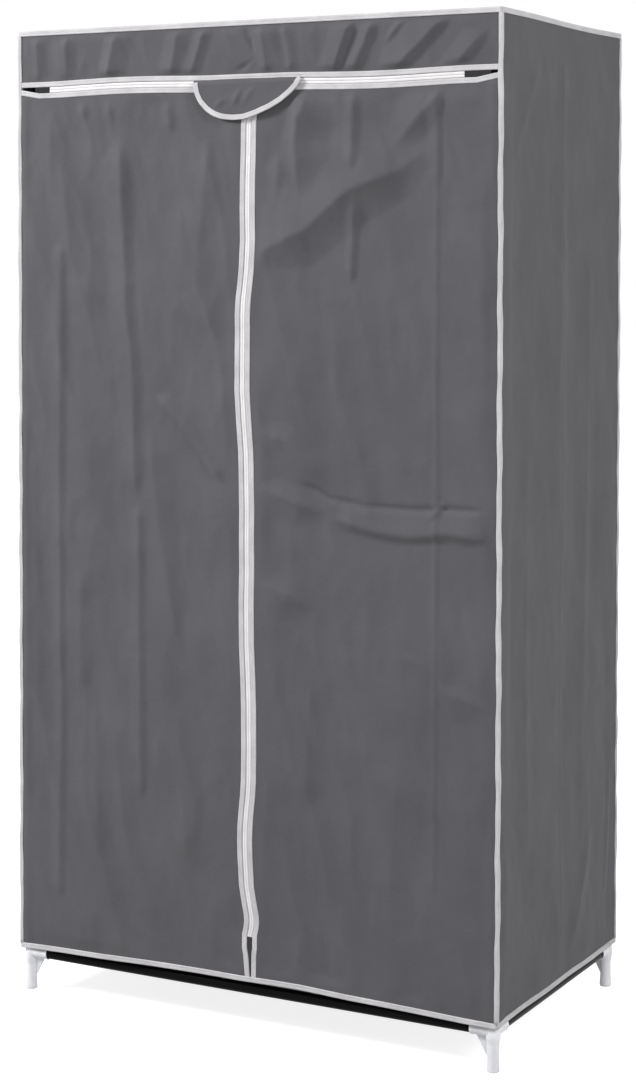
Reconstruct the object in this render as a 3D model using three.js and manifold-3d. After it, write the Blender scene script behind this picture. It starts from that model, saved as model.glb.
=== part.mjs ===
// A portable fabric wardrobe: a frame of thin steel tubes in plastic connectors, under a zipped cloth cover.
// Millimetres, +Z up. The origin is on the floor under the middle of the wardrobe, and the doors face -Y.
import * as THREE from "three";
import { mergeVertices } from "three/addons/utils/BufferGeometryUtils.js";
import Module from "manifold-3d";

const wasm = await Module();
wasm.setup();

// Whole size, over the cover's piping
const width = 750;
const depth = 440;
const height = 1385;

// Clearances
const fit = 0.3; // between two pieces that touch
const clothSlack = 0.4; // from the cover's inside to the widest part of the frame
const overrun = 1; // how far a cutting tool passes the face that it cuts

// Steel tube
const tubeOuter = 16;
const tubeWall = 0.6;
const roundSides = 16;
const swageLength = 36; // the narrowed end of an upper upright, inside the lower one
const swageTaper = 4;
const uprightJointShare = 0.48; // where the two halves of an upright meet, of the height between its sockets

// Plastic connectors
const socketOuter = 19;
const socketReach = 31; // from the crossing of the axes to a socket's mouth
const socketStop = 11; // from the crossing to where a tube's end stops
const lowRailHeight = 55; // the lower tubes' axis above the floor
const legRadius = 7.9;
const footRadius = 8.3;
const footEdge = 1.2; // the bevel round the foot's sole
const legFlareTop = 18; // up to here the leg widens towards its foot
const neckHeight = 9; // the cone from the leg to the sockets
const gussetThickness = 3;
const gussetReach = 21; // from the post's axis, along the socket's underside
const gussetFoot = 19; // the height where the gusset runs out on the leg
const capBevel = 1.5; // on a top connector's crown

// Cloth and the folded tape that binds its edges
const clothThickness = 0.8;
const pipingThickness = 1.1;
const pipingArm = 5.5; // how far the corner piping reaches on to each face
const pipingBevel = 0.9;
const rimDrop = 7.5; // the top binding's height on the walls
const hemHeight = 62; // the hem's lower edge above the floor
const hemBand = 7.5;
const hemBow = 6; // how far the front hem rises in the middle
const bindingWidth = 7;
const bindingThickness = 0.7;
const baseInset = 7; // from the cover's inside to the base cloth's edge

// Zips
const zipDrop = 85; // the top zip's line below the top
const zipShare = 0.507; // the upright zip's place along the width, from the left
const zipGap = 4.7; // from a zip's line to the cloth on each side
const slotLength = 50; // from the end of the top zip to the cover's corner
const slotHeight = 60; // from the end of the upright zip to the hem
const slotEnd = 1.6; // half the slot's width where it closes
const slotTie = 3; // the top bindings run together over this length at the corner
const sliderPark = 15; // how far past a chain's end its slot keeps the zip's full width
const chainStart = 39; // from the zips' meeting point to the first tooth
const chainGroove = 0.7; // half the groove between the two rows of teeth
const chainHalf = 3; // from the zip's line to the outside of a row
const chainThickness = 2.2;
const tapeThickness = 0.5;
const tapeWidth = 6; // the part of the zip's tape behind the cloth
const tapeRoot = 0.5; // how far the tape runs into its teeth
const teethEnd = 2.5; // from the end of a top zip to its last tooth
const bindingLap = 0.2; // how far a binding laps over its cloth's edge
const foldClear = 4.5; // from the fold line to what stands proud of the cloth
const foldGap = 0.2; // from the fold line to the cloth

// Zip slider and its pull tab
const sliderLength = 12;
const sliderHalf = 4.2;
const sliderNoseShare = 0.72; // width of the slider's tail, of its head
const sliderPlate = 1;
const sliderGap = 0.35; // between the slider and the teeth
const flangeWidth = 0.85;
const bridgeHalf = 0.4;
const bridgeShare = 0.6; // length of the bridge between the plates, of the slider
const archHalf = 3.2;
const archWidth = 2;
const archBar = 0.9;
const tabThickness = 1.2;
const tabLength = 20;
const tabWidth = 5;
const tabArm = 1; // width of the loop's sides
const tabEye = 4.6; // from the pin to the solid part of the tab
const tabCorner = 1.6;
const centreSliderDrop = 13; // the upright zip's slider below the meeting point
const sideSliderPlace = 32; // the top zips' sliders, from the meeting point

// Half-moon flap over the zips' meeting point
const moonWidth = 167;
const moonDrop = 55;
const moonLeftShare = 0.525; // the part of the flap that lies left of the upright zip
const moonSeam = 4; // the strip by which it is sewn on
const moonLap = 1; // how far the strip runs down on to the flap

// Folds of the cloth, in millimetres from its flat cut
const doorFold = 2.6;
const wallFold = 3;
const headerFold = 2.2;
const creaseDepth = 3.4;
const flatBorder = 26; // the cloth lies flat this far from a tube, seam or zip
const foldRise = 55; // and reaches its full folds this far beyond

// Sizes that follow
const pipingProud = fit + pipingThickness;
const clothX = width / 2 - pipingProud;
const clothY = depth / 2 - pipingProud;
const clothTop = height - pipingProud;
const socketRadius = socketOuter / 2;
const tubeRadius = tubeOuter / 2;
const boreRadius = tubeRadius + fit;
const postX = clothX - clothThickness - clothSlack - socketRadius;
const postY = clothY - clothThickness - clothSlack - socketRadius;
const highRailHeight = clothTop - clothThickness - clothSlack - socketRadius;
const zipX = (zipShare - 1 / 2) * width;
const zipZ = height - zipDrop;
const doorTop = zipZ - zipGap;
const wallBottom = hemHeight + fit + pipingThickness;
const doorBottom = hemHeight + hemBand + slotHeight;
const frontFace = -clothY;
const bindingBack = frontFace - fit;
const tapeFront = frontFace + clothThickness + fit;
const chainMiddle = tapeFront + tapeThickness / 2;
const tapeOuter = zipGap + tapeWidth;
const bindingInner = zipGap - bindingLap;
const bindingOuter = bindingInner + bindingWidth;
const slotClimb = 2 * (zipGap - slotEnd); // the lower edge of a top slot closes it alone
const LEFT = -1;
const RIGHT = 1;
const FRONT = -1;
const BACK = 1;

// Materials
const steel = new THREE.MeshStandardMaterial({ color: "#0c0c0e", roughness: 0.28, metalness: 0.35 });
const plastic = new THREE.MeshStandardMaterial({ color: "#e4e4ea", roughness: 0.45, metalness: 0 });
const cloth = new THREE.MeshStandardMaterial({ color: "#68686c", roughness: 0.92, metalness: 0 });
const binding = new THREE.MeshStandardMaterial({ color: "#e3e2e0", roughness: 0.8, metalness: 0 });
const zipTape = new THREE.MeshStandardMaterial({ color: "#ecebe9", roughness: 0.7, metalness: 0 });
const zipMetal = new THREE.MeshStandardMaterial({ color: "#dcdcda", roughness: 0.4, metalness: 0.2 });
const baseCloth = new THREE.MeshStandardMaterial({ color: "#2a2a2c", roughness: 0.95, metalness: 0 });

const wardrobe = new THREE.Group();

// Adds a named piece to the wardrobe.
function add(name, geometry, material) {
  const mesh = new THREE.Mesh(geometry, material);
  mesh.name = name;
  wardrobe.add(mesh);
  return mesh;
}

// A geometry as a solid that can be joined and cut.
function solidOf(geometry) {
  const bare = geometry.index ? geometry.toNonIndexed() : geometry.clone();
  bare.deleteAttribute("normal");
  bare.deleteAttribute("uv");
  const merged = mergeVertices(bare);
  return new wasm.Manifold(
    new wasm.Mesh({
      numProp: 3,
      vertProperties: merged.attributes.position.array,
      triVerts: new Uint32Array(merged.index.array),
    }),
  );
}

// A solid as a geometry again.
function geometryOf(solid) {
  const mesh = solid.getMesh();
  const geometry = new THREE.BufferGeometry();
  geometry.setAttribute("position", new THREE.BufferAttribute(mesh.vertProperties, 3));
  geometry.setIndex(new THREE.BufferAttribute(mesh.triVerts, 1));
  const faceted = geometry.toNonIndexed();
  faceted.computeVertexNormals();
  return faceted;
}

// One solid from several geometries, less the geometries that cut it.
function joined(parts, cuts = []) {
  let solid = solidOf(parts[0]);
  for (const part of parts.slice(1)) {
    solid = solid.add(solidOf(part));
  }
  for (const cut of cuts) {
    solid = solid.subtract(solidOf(cut));
  }
  return geometryOf(solid);
}

// Turns a geometry made along +Z to point along a direction, and moves it to its start.
function along(geometry, start, direction) {
  const turn = new THREE.Quaternion().setFromUnitVectors(new THREE.Vector3(0, 0, 1), direction);
  geometry.applyQuaternion(turn);
  geometry.translate(start.x, start.y, start.z);
  return geometry;
}

// A solid of revolution about +Z from [radius, height] pairs.
function turned(profile) {
  const points = profile.map(([radius, z]) => new THREE.Vector2(radius, z));
  const geometry = new THREE.LatheGeometry(points, roundSides);
  geometry.rotateX(Math.PI / 2);
  return geometry;
}

// A round rod from one radius and length along a direction.
function rod(radius, from, to, start, direction) {
  const shape = turned([[0, from], [radius, from], [radius, to], [0, to]]);
  return along(shape, start, direction);
}

// A tube with an open bore between two points.
function tubeBetween(start, end) {
  const span = new THREE.Vector3().subVectors(end, start);
  const length = span.length();
  const inner = tubeRadius - tubeWall;
  const wall = turned([[inner, 0], [tubeRadius, 0], [tubeRadius, length], [inner, length], [inner, 0]]);
  return along(wall, start, span.normalize());
}

// An outline in the X-Z plane as a plate whose back lies at y = back, standing proud by its thickness.
function frontPlate(outline, back, thickness) {
  const shape = new THREE.Shape(outline.map(([x, z]) => new THREE.Vector2(x, z)));
  const plate = new THREE.ExtrudeGeometry(shape, { depth: thickness, bevelEnabled: false });
  plate.rotateX(Math.PI / 2);
  plate.translate(0, back, 0);
  return plate;
}

// A box between two corners.
function boxBetween(low, high) {
  const size = high.map((value, axis) => value - low[axis]);
  const box = new THREE.BoxGeometry(...size);
  box.translate(...low.map((value, axis) => value + size[axis] / 2));
  return box;
}

// Frame: plastic connectors

const UP = new THREE.Vector3(0, 0, 1);
const DOWN = new THREE.Vector3(0, 0, -1);

// The direction from a side of the wardrobe towards its middle.
function inwardX(side) {
  return new THREE.Vector3(-side, 0, 0);
}

function inwardY(side) {
  return new THREE.Vector3(0, -side, 0);
}

// The sleeves and the bores of a connector's sockets, one for each direction from its centre.
function sockets(centre, directions) {
  const mouth = socketReach + overrun;
  return {
    sleeves: directions.map((way) => rod(socketRadius, 0, socketReach, centre, way)),
    bores: directions.map((way) => rod(boreRadius, socketStop, mouth, centre, way)),
  };
}

// The post of a foot, from its sole up to the crossing of its sockets.
function legGeometry(centre) {
  const neckTop = lowRailHeight - socketRadius;
  const profile = [
    [0, 0],
    [footRadius - footEdge, 0],
    [footRadius, footEdge],
    [legRadius, legFlareTop],
    [legRadius, neckTop - neckHeight],
    [socketRadius, neckTop],
    [socketRadius, lowRailHeight],
    [0, lowRailHeight],
  ];
  return along(turned(profile), new THREE.Vector3(centre.x, centre.y, 0), UP);
}

// The web that braces the leg against the socket of the long tube.
function gussetGeometry(centre, side) {
  const underside = lowRailHeight - socketRadius + overrun;
  const outline = [
    [centre.x, gussetFoot],
    [centre.x - side * legRadius, gussetFoot],
    [centre.x - side * gussetReach, underside],
    [centre.x, underside],
  ];
  return frontPlate(outline, centre.y + gussetThickness / 2, gussetThickness);
}

function addFoot(name, sideX, sideY) {
  const centre = new THREE.Vector3(sideX * postX, sideY * postY, lowRailHeight);
  const { sleeves, bores } = sockets(centre, [UP, inwardX(sideX), inwardY(sideY)]);
  const body = [legGeometry(centre), gussetGeometry(centre, sideX), ...sleeves];
  add(name, joined(body, bores), plastic);
}

function addTopCorner(name, sideX, sideY) {
  const centre = new THREE.Vector3(sideX * postX, sideY * postY, highRailHeight);
  const { sleeves, bores } = sockets(centre, [DOWN, inwardX(sideX), inwardY(sideY)]);
  const crown = [
    [0, 0],
    [socketRadius, 0],
    [socketRadius, socketRadius - capBevel],
    [socketRadius - capBevel, socketRadius],
    [0, socketRadius],
  ];
  add(name, joined([along(turned(crown), centre, UP), ...sleeves], bores), plastic);
}

// The tee that carries one end of the hanging rail between two short side tubes.
function addTee(name, side) {
  const centre = new THREE.Vector3(side * postX, 0, highRailHeight);
  const ways = [inwardY(FRONT), inwardY(BACK), inwardX(side)];
  const { sleeves, bores } = sockets(centre, ways);
  add(name, joined(sleeves, bores), plastic);
}

// Frame: steel tubes

function addTube(name, from, to) {
  add(name, tubeBetween(new THREE.Vector3(...from), new THREE.Vector3(...to)), steel);
}

// An upper upright, whose narrowed lower end slides into the lower one.
function addSwagedTube(name, x, y, shoulder, top) {
  const inner = tubeRadius - tubeWall;
  const spigot = inner - fit;
  const spigotInner = spigot - tubeWall;
  const length = top - shoulder;
  const wall = [
    [spigotInner, -swageLength],
    [spigot, -swageLength],
    [spigot, 0],
    [tubeRadius, swageTaper],
    [tubeRadius, length],
    [inner, length],
    [inner, swageTaper],
    [spigotInner, 0],
    [spigotInner, -swageLength],
  ];
  add(name, along(turned(wall), new THREE.Vector3(x, y, shoulder), UP), steel);
}

// The two halves of one upright, which meet inside the cover.
function addUpright(corner, sideX, sideY) {
  const x = sideX * postX;
  const y = sideY * postY;
  const bottom = lowRailHeight + socketStop + fit;
  const top = highRailHeight - socketStop - fit;
  const meeting = bottom + (top - bottom) * uprightJointShare;
  addTube("lower_upright_" + corner, [x, y, bottom], [x, y, meeting]);
  addSwagedTube("upper_upright_" + corner, x, y, meeting + fit, top);
}

function addFrame() {
  const corners = [
    ["front_left", LEFT, FRONT],
    ["front_right", RIGHT, FRONT],
    ["back_left", LEFT, BACK],
    ["back_right", RIGHT, BACK],
  ];
  for (const [corner, sideX, sideY] of corners) {
    addFoot("foot_" + corner, sideX, sideY);
    addUpright(corner, sideX, sideY);
    addTopCorner("top_connector_" + corner, sideX, sideY);
  }
  const endX = postX - socketStop - fit;
  const endY = postY - socketStop - fit;
  const teeEnd = socketStop + fit;
  for (const [face, side] of [["front", FRONT], ["back", BACK]]) {
    const y = side * postY;
    addTube("bottom_rail_" + face, [-endX, y, lowRailHeight], [endX, y, lowRailHeight]);
    addTube("top_rail_" + face, [-endX, y, highRailHeight], [endX, y, highRailHeight]);
  }
  for (const [face, side] of [["left", LEFT], ["right", RIGHT]]) {
    const x = side * postX;
    addTube("bottom_rail_" + face, [x, -endY, lowRailHeight], [x, endY, lowRailHeight]);
    addTube("top_tube_front_" + face, [x, -endY, highRailHeight], [x, -teeEnd, highRailHeight]);
    addTube("top_tube_back_" + face, [x, teeEnd, highRailHeight], [x, endY, highRailHeight]);
    addTee("tee_" + face, side);
  }
  addTube("hanging_rail", [-endX, 0, highRailHeight], [endX, 0, highRailHeight]);
}

// Cover: shapes of the cloth

// A rise from 0 to 1 with the distance from a border, flat close to it.
function easeIn(distance) {
  return THREE.MathUtils.smoothstep(distance, flatBorder, flatBorder + foldRise);
}

// One soft fold: 1 on its line and 0 beyond its width.
function foldAt(value, line, halfWidth) {
  const offset = Math.min(Math.abs(value - line) / halfWidth, 1);
  return (1 - offset * offset) ** 2;
}

// A thin closed sheet: its outer face at place(u, v), its inner face one thickness behind.
function sheet(columns, rows, place, inward) {
  const points = [];
  const index = [];
  const layer = (columns + 1) * (rows + 1);
  for (const back of [0, 1]) {
    for (let j = 0; j <= rows; j++) {
      for (let i = 0; i <= columns; i++) {
        const point = place(i / columns, j / rows).addScaledVector(inward, back * clothThickness);
        points.push(point.x, point.y, point.z);
      }
    }
  }
  const at = (i, j, back) => back * layer + j * (columns + 1) + i;
  const quad = (a, b, c, d) => index.push(a, b, c, a, c, d);
  for (let j = 0; j < rows; j++) {
    for (let i = 0; i < columns; i++) {
      quad(at(i, j, 0), at(i + 1, j, 0), at(i + 1, j + 1, 0), at(i, j + 1, 0));
      quad(at(i, j, 1), at(i, j + 1, 1), at(i + 1, j + 1, 1), at(i + 1, j, 1));
    }
    quad(at(0, j, 0), at(0, j + 1, 0), at(0, j + 1, 1), at(0, j, 1));
    quad(at(columns, j, 0), at(columns, j, 1), at(columns, j + 1, 1), at(columns, j + 1, 0));
  }
  for (let i = 0; i < columns; i++) {
    quad(at(i, 0, 0), at(i, 0, 1), at(i + 1, 0, 1), at(i + 1, 0, 0));
    quad(at(i, rows, 0), at(i + 1, rows, 0), at(i + 1, rows, 1), at(i, rows, 1));
  }
  const geometry = new THREE.BufferGeometry();
  geometry.setAttribute("position", new THREE.Float32BufferAttribute(points, 3));
  geometry.setIndex(index);
  const faceted = geometry.toNonIndexed();
  faceted.computeVertexNormals();
  return faceted;
}

// The hem's rise above its corners, along the front.
function hemRise(x) {
  const share = Math.min(Math.abs(x) / clothX, 1);
  return hemBow * (1 - share * share);
}

// Cover: the front's own frame, with u the distance from the upright zip towards one side

function frontX(side, u) {
  return zipX + side * u;
}

// The cover's corner, and the outer end of the top zip, as distances from the upright zip.
function edgeOf(side) {
  return clothX - side * zipX;
}

function topZipEnd(side) {
  return edgeOf(side) - slotLength;
}

// How far a point of the front lies on the door's side of the line that the opened door folds along.
function doorSide(side, [u, z]) {
  const acrossLine = topZipEnd(side) - zipGap;
  const upLine = doorTop - doorBottom;
  const rise = z - doorBottom;
  return (rise * acrossLine - (u - zipGap) * upLine) / Math.hypot(acrossLine, upLine);
}

// The part of an outline where a distance isn't negative.
function clipped(outline, distanceOf) {
  const kept = [];
  outline.forEach((point, i) => {
    const next = outline[(i + 1) % outline.length];
    const here = distanceOf(point);
    const there = distanceOf(next);
    if (here >= 0) kept.push(point);
    if (here * there < 0) {
      const share = here / (here - there);
      kept.push(point.map((value, axis) => value + (next[axis] - value) * share));
    }
  });
  return kept;
}

function onDoor(side, outline, clear) {
  return clipped(outline, (point) => doorSide(side, point) - clear);
}

function besideDoor(side, outline, clear) {
  return clipped(outline, (point) => -doorSide(side, point) - clear);
}

// A front plate from an outline of [u, z] points.
function sidePlate(side, outline, back, thickness) {
  return frontPlate(outline.map(([u, z]) => [frontX(side, u), z]), back, thickness);
}

// Cover: cloth panels

const FRONT_INWARD = new THREE.Vector3(0, 1, 0);

// Folds of the front: [place across the half, half width, depth] as shares.
const leftFoldShares = [[0.22, 0.14, 0.7], [0.5, 0.12, -0.5], [0.76, 0.13, 0.8]];
const rightFoldShares = [[0.16, 0.1, -0.5], [0.38, 0.13, 0.9], [0.6, 0.07, -0.7], [0.82, 0.12, 0.6]];
const creaseHeightShare = 0.5; // of the cover's height
const creaseSlopeShare = 0.04;
const creaseWidthShare = 0.03;
const creaseStartShare = 0.3; // from the zip, of the right half's width
const creaseFullShare = 0.5;

// How far the front bulges at a point of one half.
function frontFold(side, u, z) {
  const share = u / edgeOf(side);
  const folds = side === LEFT ? leftFoldShares : rightFoldShares;
  let depthShare = 0;
  for (const [line, halfWidth, strength] of folds) {
    depthShare += strength * foldAt(share, line, halfWidth);
  }
  const heightShare = z / height + creaseSlopeShare * share;
  const crease = foldAt(heightShare, creaseHeightShare, creaseWidthShare);
  const fade = side === RIGHT ? THREE.MathUtils.smoothstep(share, creaseStartShare, creaseFullShare) : 0;
  return doorFold * depthShare - creaseDepth * crease * fade;
}

// The inner edge of the fixed cloth beside the slot under the upright zip.
function slotHalf(z) {
  const slotTop = doorBottom - sliderPark;
  const share = THREE.MathUtils.clamp((slotTop - z) / (slotTop - wallBottom), 0, 1);
  return zipGap + (slotEnd - zipGap) * share;
}

// The upper edge of the fixed cloth, which closes the slot at the end of the top zip.
function slotFloor(side, u) {
  const slotFrom = topZipEnd(side) + sliderPark;
  const share = THREE.MathUtils.clamp((u - slotFrom) / (edgeOf(side) - slotFrom), 0, 1);
  return doorTop + slotClimb * share;
}

function pointOnFront(side, u, z, border) {
  const fold = frontFold(side, u, z) * easeIn(border);
  return new THREE.Vector3(frontX(side, u), frontFace - fold, z);
}

const doorTip = 9; // the door's cloth starts this far above the zip's lower end
const doorColumns = 8;
const doorRows = 22;

// A door: the triangle between the zips and the line that it folds along.
function addDoor(name, side) {
  const place = (across, up) => {
    const z = doorBottom + doorTip + (doorTop - doorBottom - doorTip) * up;
    const rise = (z - doorBottom) / (doorTop - doorBottom);
    const reach = (topZipEnd(side) - zipGap) * rise - foldGap;
    const share = side === RIGHT ? across : 1 - across;
    const u = zipGap + reach * share;
    const border = Math.min(u - zipGap, doorTop - z, doorSide(side, [u, z]));
    return pointOnFront(side, u, z, border);
  };
  add(name, sheet(doorColumns, doorRows, place, FRONT_INWARD), cloth);
}

const cornerColumns = 8;
const lowRowShares = [0, 0.018, 0.034, 0.05, 0.13, 0.22, 0.31, 0.4];
const highRowShares = [0.45, 0.5, 0.55, 0.62, 0.7, 0.79, 0.88, 0.95, 1];
const cornerRowShares = [...lowRowShares, ...highRowShares];

// The fixed cloth of one half of the front, outside the door's fold and under its zip.
function addLowerFront(name, side) {
  const edge = edgeOf(side);
  const innerEdge = (z) => {
    const rise = (z - doorBottom) / (doorTop - doorBottom);
    return z < doorBottom ? slotHalf(z) : zipGap + (topZipEnd(side) - zipGap) * rise + foldGap;
  };
  const rowCount = cornerRowShares.length - 1;
  const place = (across, up) => {
    const rowShare = cornerRowShares[Math.round(up * rowCount)];
    const share = side === RIGHT ? across : 1 - across;
    const hemInner = wallBottom + hemRise(frontX(side, slotHalf(wallBottom)));
    const zInner = THREE.MathUtils.lerp(hemInner, doorTop, rowShare);
    const zOuter = THREE.MathUtils.lerp(wallBottom, slotFloor(side, edge), rowShare);
    const uInner = innerEdge(zInner);
    const u = THREE.MathUtils.lerp(uInner, edge, share);
    const straight = THREE.MathUtils.lerp(zInner, zOuter, share);
    const bow = wallBottom + hemRise(frontX(side, u)) - straight;
    const lift = slotFloor(side, u) - straight;
    const z = straight + (rowShare === 0 ? bow : 0) + (rowShare === 1 ? lift : 0);
    const fromFold = z > doorBottom ? -doorSide(side, [u, z]) : u - uInner;
    const border = Math.min(fromFold, edge - u, z - wallBottom, doorTop - z);
    return pointOnFront(side, u, z, border);
  };
  add(name, sheet(cornerColumns, rowCount, place, FRONT_INWARD), cloth);
}

const wallTop = clothTop - clothThickness - fit;
const headerColumns = 22;
const headerRows = 6;
const headerCreases = 5;
const headerLeanShare = 0.9; // sideways run of a crease, of the header's height
const headerBorder = 14; // the header lies flat this far from its edges
const headerRise = 16;

// The header: the strip of the front above the top zip, with slanting creases.
function addHeader() {
  const bottom = zipZ + zipGap;
  const tall = wallTop - bottom;
  const place = (across, up) => {
    const x = THREE.MathUtils.lerp(-clothX, clothX, across);
    const z = bottom + tall * up;
    const border = Math.min(z - bottom, wallTop - z, clothX - Math.abs(x));
    const eased = THREE.MathUtils.smoothstep(border, headerBorder, headerBorder + headerRise);
    const phase = headerCreases * (across - (headerLeanShare * tall * up) / width);
    const wave = (1 - Math.cos(2 * Math.PI * phase)) / 2;
    return new THREE.Vector3(x, frontFace - headerFold * wave * eased, z);
  };
  add("header", sheet(headerColumns, headerRows, place, FRONT_INWARD), cloth);
}

const wallColumns = 8;
const wallRows = 14;
const sideFoldShares = [[0.25, 0.16, 0.8], [0.52, 0.12, -0.7], [0.78, 0.14, 0.6]];
const sideLeanShare = 0.1; // how far a fold drifts sideways over the panel's height

// The bulge of a side or back panel at shares of its width and height.
function wallBulge(across, up, acrossSize) {
  const drift = across + sideLeanShare * (up - 1 / 2);
  let depthShare = 0;
  for (const [line, halfWidth, strength] of sideFoldShares) {
    depthShare += strength * foldAt(drift, line, halfWidth);
  }
  const tall = wallTop - wallBottom;
  const border = Math.min(across * acrossSize, (1 - across) * acrossSize, up * tall, (1 - up) * tall);
  return wallFold * depthShare * easeIn(border);
}

function addSidePanel(name, side) {
  const reach = clothY - clothThickness - fit;
  const place = (across, up) => {
    const y = side * THREE.MathUtils.lerp(-reach, reach, across);
    const z = THREE.MathUtils.lerp(wallBottom, wallTop, up);
    return new THREE.Vector3(side * (clothX + wallBulge(across, up, 2 * reach)), y, z);
  };
  add(name, sheet(wallColumns, wallRows, place, inwardX(side)), cloth);
}

function addBackPanel() {
  const place = (across, up) => {
    const x = THREE.MathUtils.lerp(clothX, -clothX, across);
    const z = THREE.MathUtils.lerp(wallBottom, wallTop, up);
    return new THREE.Vector3(x, clothY + wallBulge(across, up, 2 * clothX), z);
  };
  add("back_panel", sheet(wallColumns, wallRows, place, inwardY(BACK)), cloth);
}

function addTopPanel() {
  const low = [-clothX, -clothY, clothTop - clothThickness];
  add("top_panel", boxBetween(low, [clothX, clothY, clothTop]), cloth);
}

// The base cloth, which lies on the lower tubes and is notched round the feet.
function addBaseCloth() {
  const edgeX = clothX - clothThickness - baseInset;
  const edgeY = clothY - clothThickness - baseInset;
  const notchX = postX - socketReach - clothSlack;
  const notchY = postY - socketReach - clothSlack;
  const outline = [
    [notchX, -edgeY],
    [notchX, -notchY],
    [edgeX, -notchY],
    [edgeX, notchY],
    [notchX, notchY],
    [notchX, edgeY],
    [-notchX, edgeY],
    [-notchX, notchY],
    [-edgeX, notchY],
    [-edgeX, -notchY],
    [-notchX, -notchY],
    [-notchX, -edgeY],
  ];
  const shape = new THREE.Shape(outline.map(([x, y]) => new THREE.Vector2(x, y)));
  const geometry = new THREE.ExtrudeGeometry(shape, { depth: clothThickness, bevelEnabled: false });
  geometry.translate(0, 0, lowRailHeight + tubeRadius + fit);
  add("base_cloth", geometry, baseCloth);
}

// Cover: bindings and piping

const hemSteps = 12;

// Sweeps a profile of [outward, up] points round the cover's walls, with mitred corners.
function ringRound(profile, riseAt) {
  const path = [];
  for (let i = 0; i <= hemSteps; i++) {
    const x = THREE.MathUtils.lerp(-clothX, clothX, i / hemSteps);
    const cornerSide = i === 0 ? LEFT : i === hemSteps ? RIGHT : 0;
    path.push({ x, y: -clothY, outX: cornerSide, outY: FRONT, rise: riseAt(x) });
  }
  path.push({ x: clothX, y: clothY, outX: RIGHT, outY: BACK, rise: 0 });
  path.push({ x: -clothX, y: clothY, outX: LEFT, outY: BACK, rise: 0 });
  const points = [];
  for (const { x, y, outX, outY, rise } of path) {
    for (const [outward, up] of profile) {
      points.push(x + outX * outward, y + outY * outward, up + rise);
    }
  }
  const index = [];
  const count = profile.length;
  path.forEach((_, i) => {
    const here = i * count;
    const next = ((i + 1) % path.length) * count;
    for (let j = 0; j < count; j++) {
      const k = (j + 1) % count;
      index.push(here + j, next + j, next + k, here + j, next + k, here + k);
    }
  });
  const geometry = new THREE.BufferGeometry();
  geometry.setAttribute("position", new THREE.Float32BufferAttribute(points, 3));
  geometry.setIndex(index);
  const faceted = geometry.toNonIndexed();
  faceted.computeVertexNormals();
  return faceted;
}

// The binding round the top, folded over the edge where the walls meet the top panel.
function addRim() {
  const drop = clothTop + pipingProud - rimDrop;
  const profile = [
    [-pipingArm, clothTop + fit],
    [fit, clothTop + fit],
    [fit, drop],
    [pipingProud, drop],
    [pipingProud, height - pipingBevel],
    [pipingProud - pipingBevel, height],
    [-pipingArm, height],
  ];
  add("top_binding", ringRound(profile, () => 0), binding);
}

// The strip beside the slot under the upright zip, from the hem up to the door's fold.
function slotBinding(side) {
  const innerEnd = bindingInner - zipGap + slotEnd;
  const parkBottom = doorBottom - sliderPark;
  const stripTop = doorBottom + bindingOuter * (doorTop - doorBottom) / (topZipEnd(side) - zipGap);
  const outline = [
    [innerEnd, wallBottom + hemBow],
    [innerEnd + bindingWidth, wallBottom + hemBow],
    [bindingOuter, parkBottom],
    [bindingOuter, stripTop],
    [bindingInner, stripTop],
    [bindingInner, parkBottom],
  ];
  return sidePlate(side, besideDoor(side, outline, foldClear), bindingBack, bindingThickness);
}

// The binding round the bottom, with the two strips beside the front's slot.
function addHem() {
  const profile = [
    [-clothThickness, hemHeight],
    [pipingProud, hemHeight],
    [pipingProud, hemHeight + hemBand],
    [fit, hemHeight + hemBand],
    [fit, hemHeight + pipingThickness],
    [-clothThickness, hemHeight + pipingThickness],
  ];
  const band = ringRound(profile, hemRise);
  add("hem_binding", joined([band, slotBinding(LEFT), slotBinding(RIGHT)]), binding);
}

// The piping down one corner, an angle of tape folded over both walls.
function addPiping(name, sideX, sideY) {
  const inner = pipingProud - pipingArm;
  const section = [
    [inner, fit],
    [fit, fit],
    [fit, inner],
    [pipingProud, inner],
    [pipingProud, pipingProud - pipingBevel],
    [pipingProud - pipingBevel, pipingProud],
    [inner, pipingProud],
  ];
  const points = section.map(([outX, outY]) => {
    return new THREE.Vector2(sideX * (clothX + outX), sideY * (clothY + outY));
  });
  const bottom = hemHeight + hemBand + fit;
  const top = height - rimDrop - fit;
  const shape = new THREE.Shape(points);
  const piping = new THREE.ExtrudeGeometry(shape, { depth: top - bottom, bevelEnabled: false });
  piping.translate(0, 0, bottom);
  add(name, piping, binding);
}

// One end of the header binding: the strip under the slot, which joins it at the corner.
function headerBindingEnd(side) {
  const end = edgeOf(side) + pipingProud - pipingArm - fit;
  const park = topZipEnd(side) + sliderPark;
  const climb = slotFloor(side, end) - doorTop;
  const strip = [
    [zipGap, zipZ - bindingInner],
    [park, zipZ - bindingInner],
    [end - slotTie, zipZ - bindingInner + climb],
    [end - slotTie, zipZ + bindingInner + overrun],
  ];
  const lowerEdge = [
    [end, zipZ - bindingOuter + climb],
    [park, zipZ - bindingOuter],
    [zipGap, zipZ - bindingOuter],
  ];
  return { end, strip, lowerEdge };
}

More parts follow.
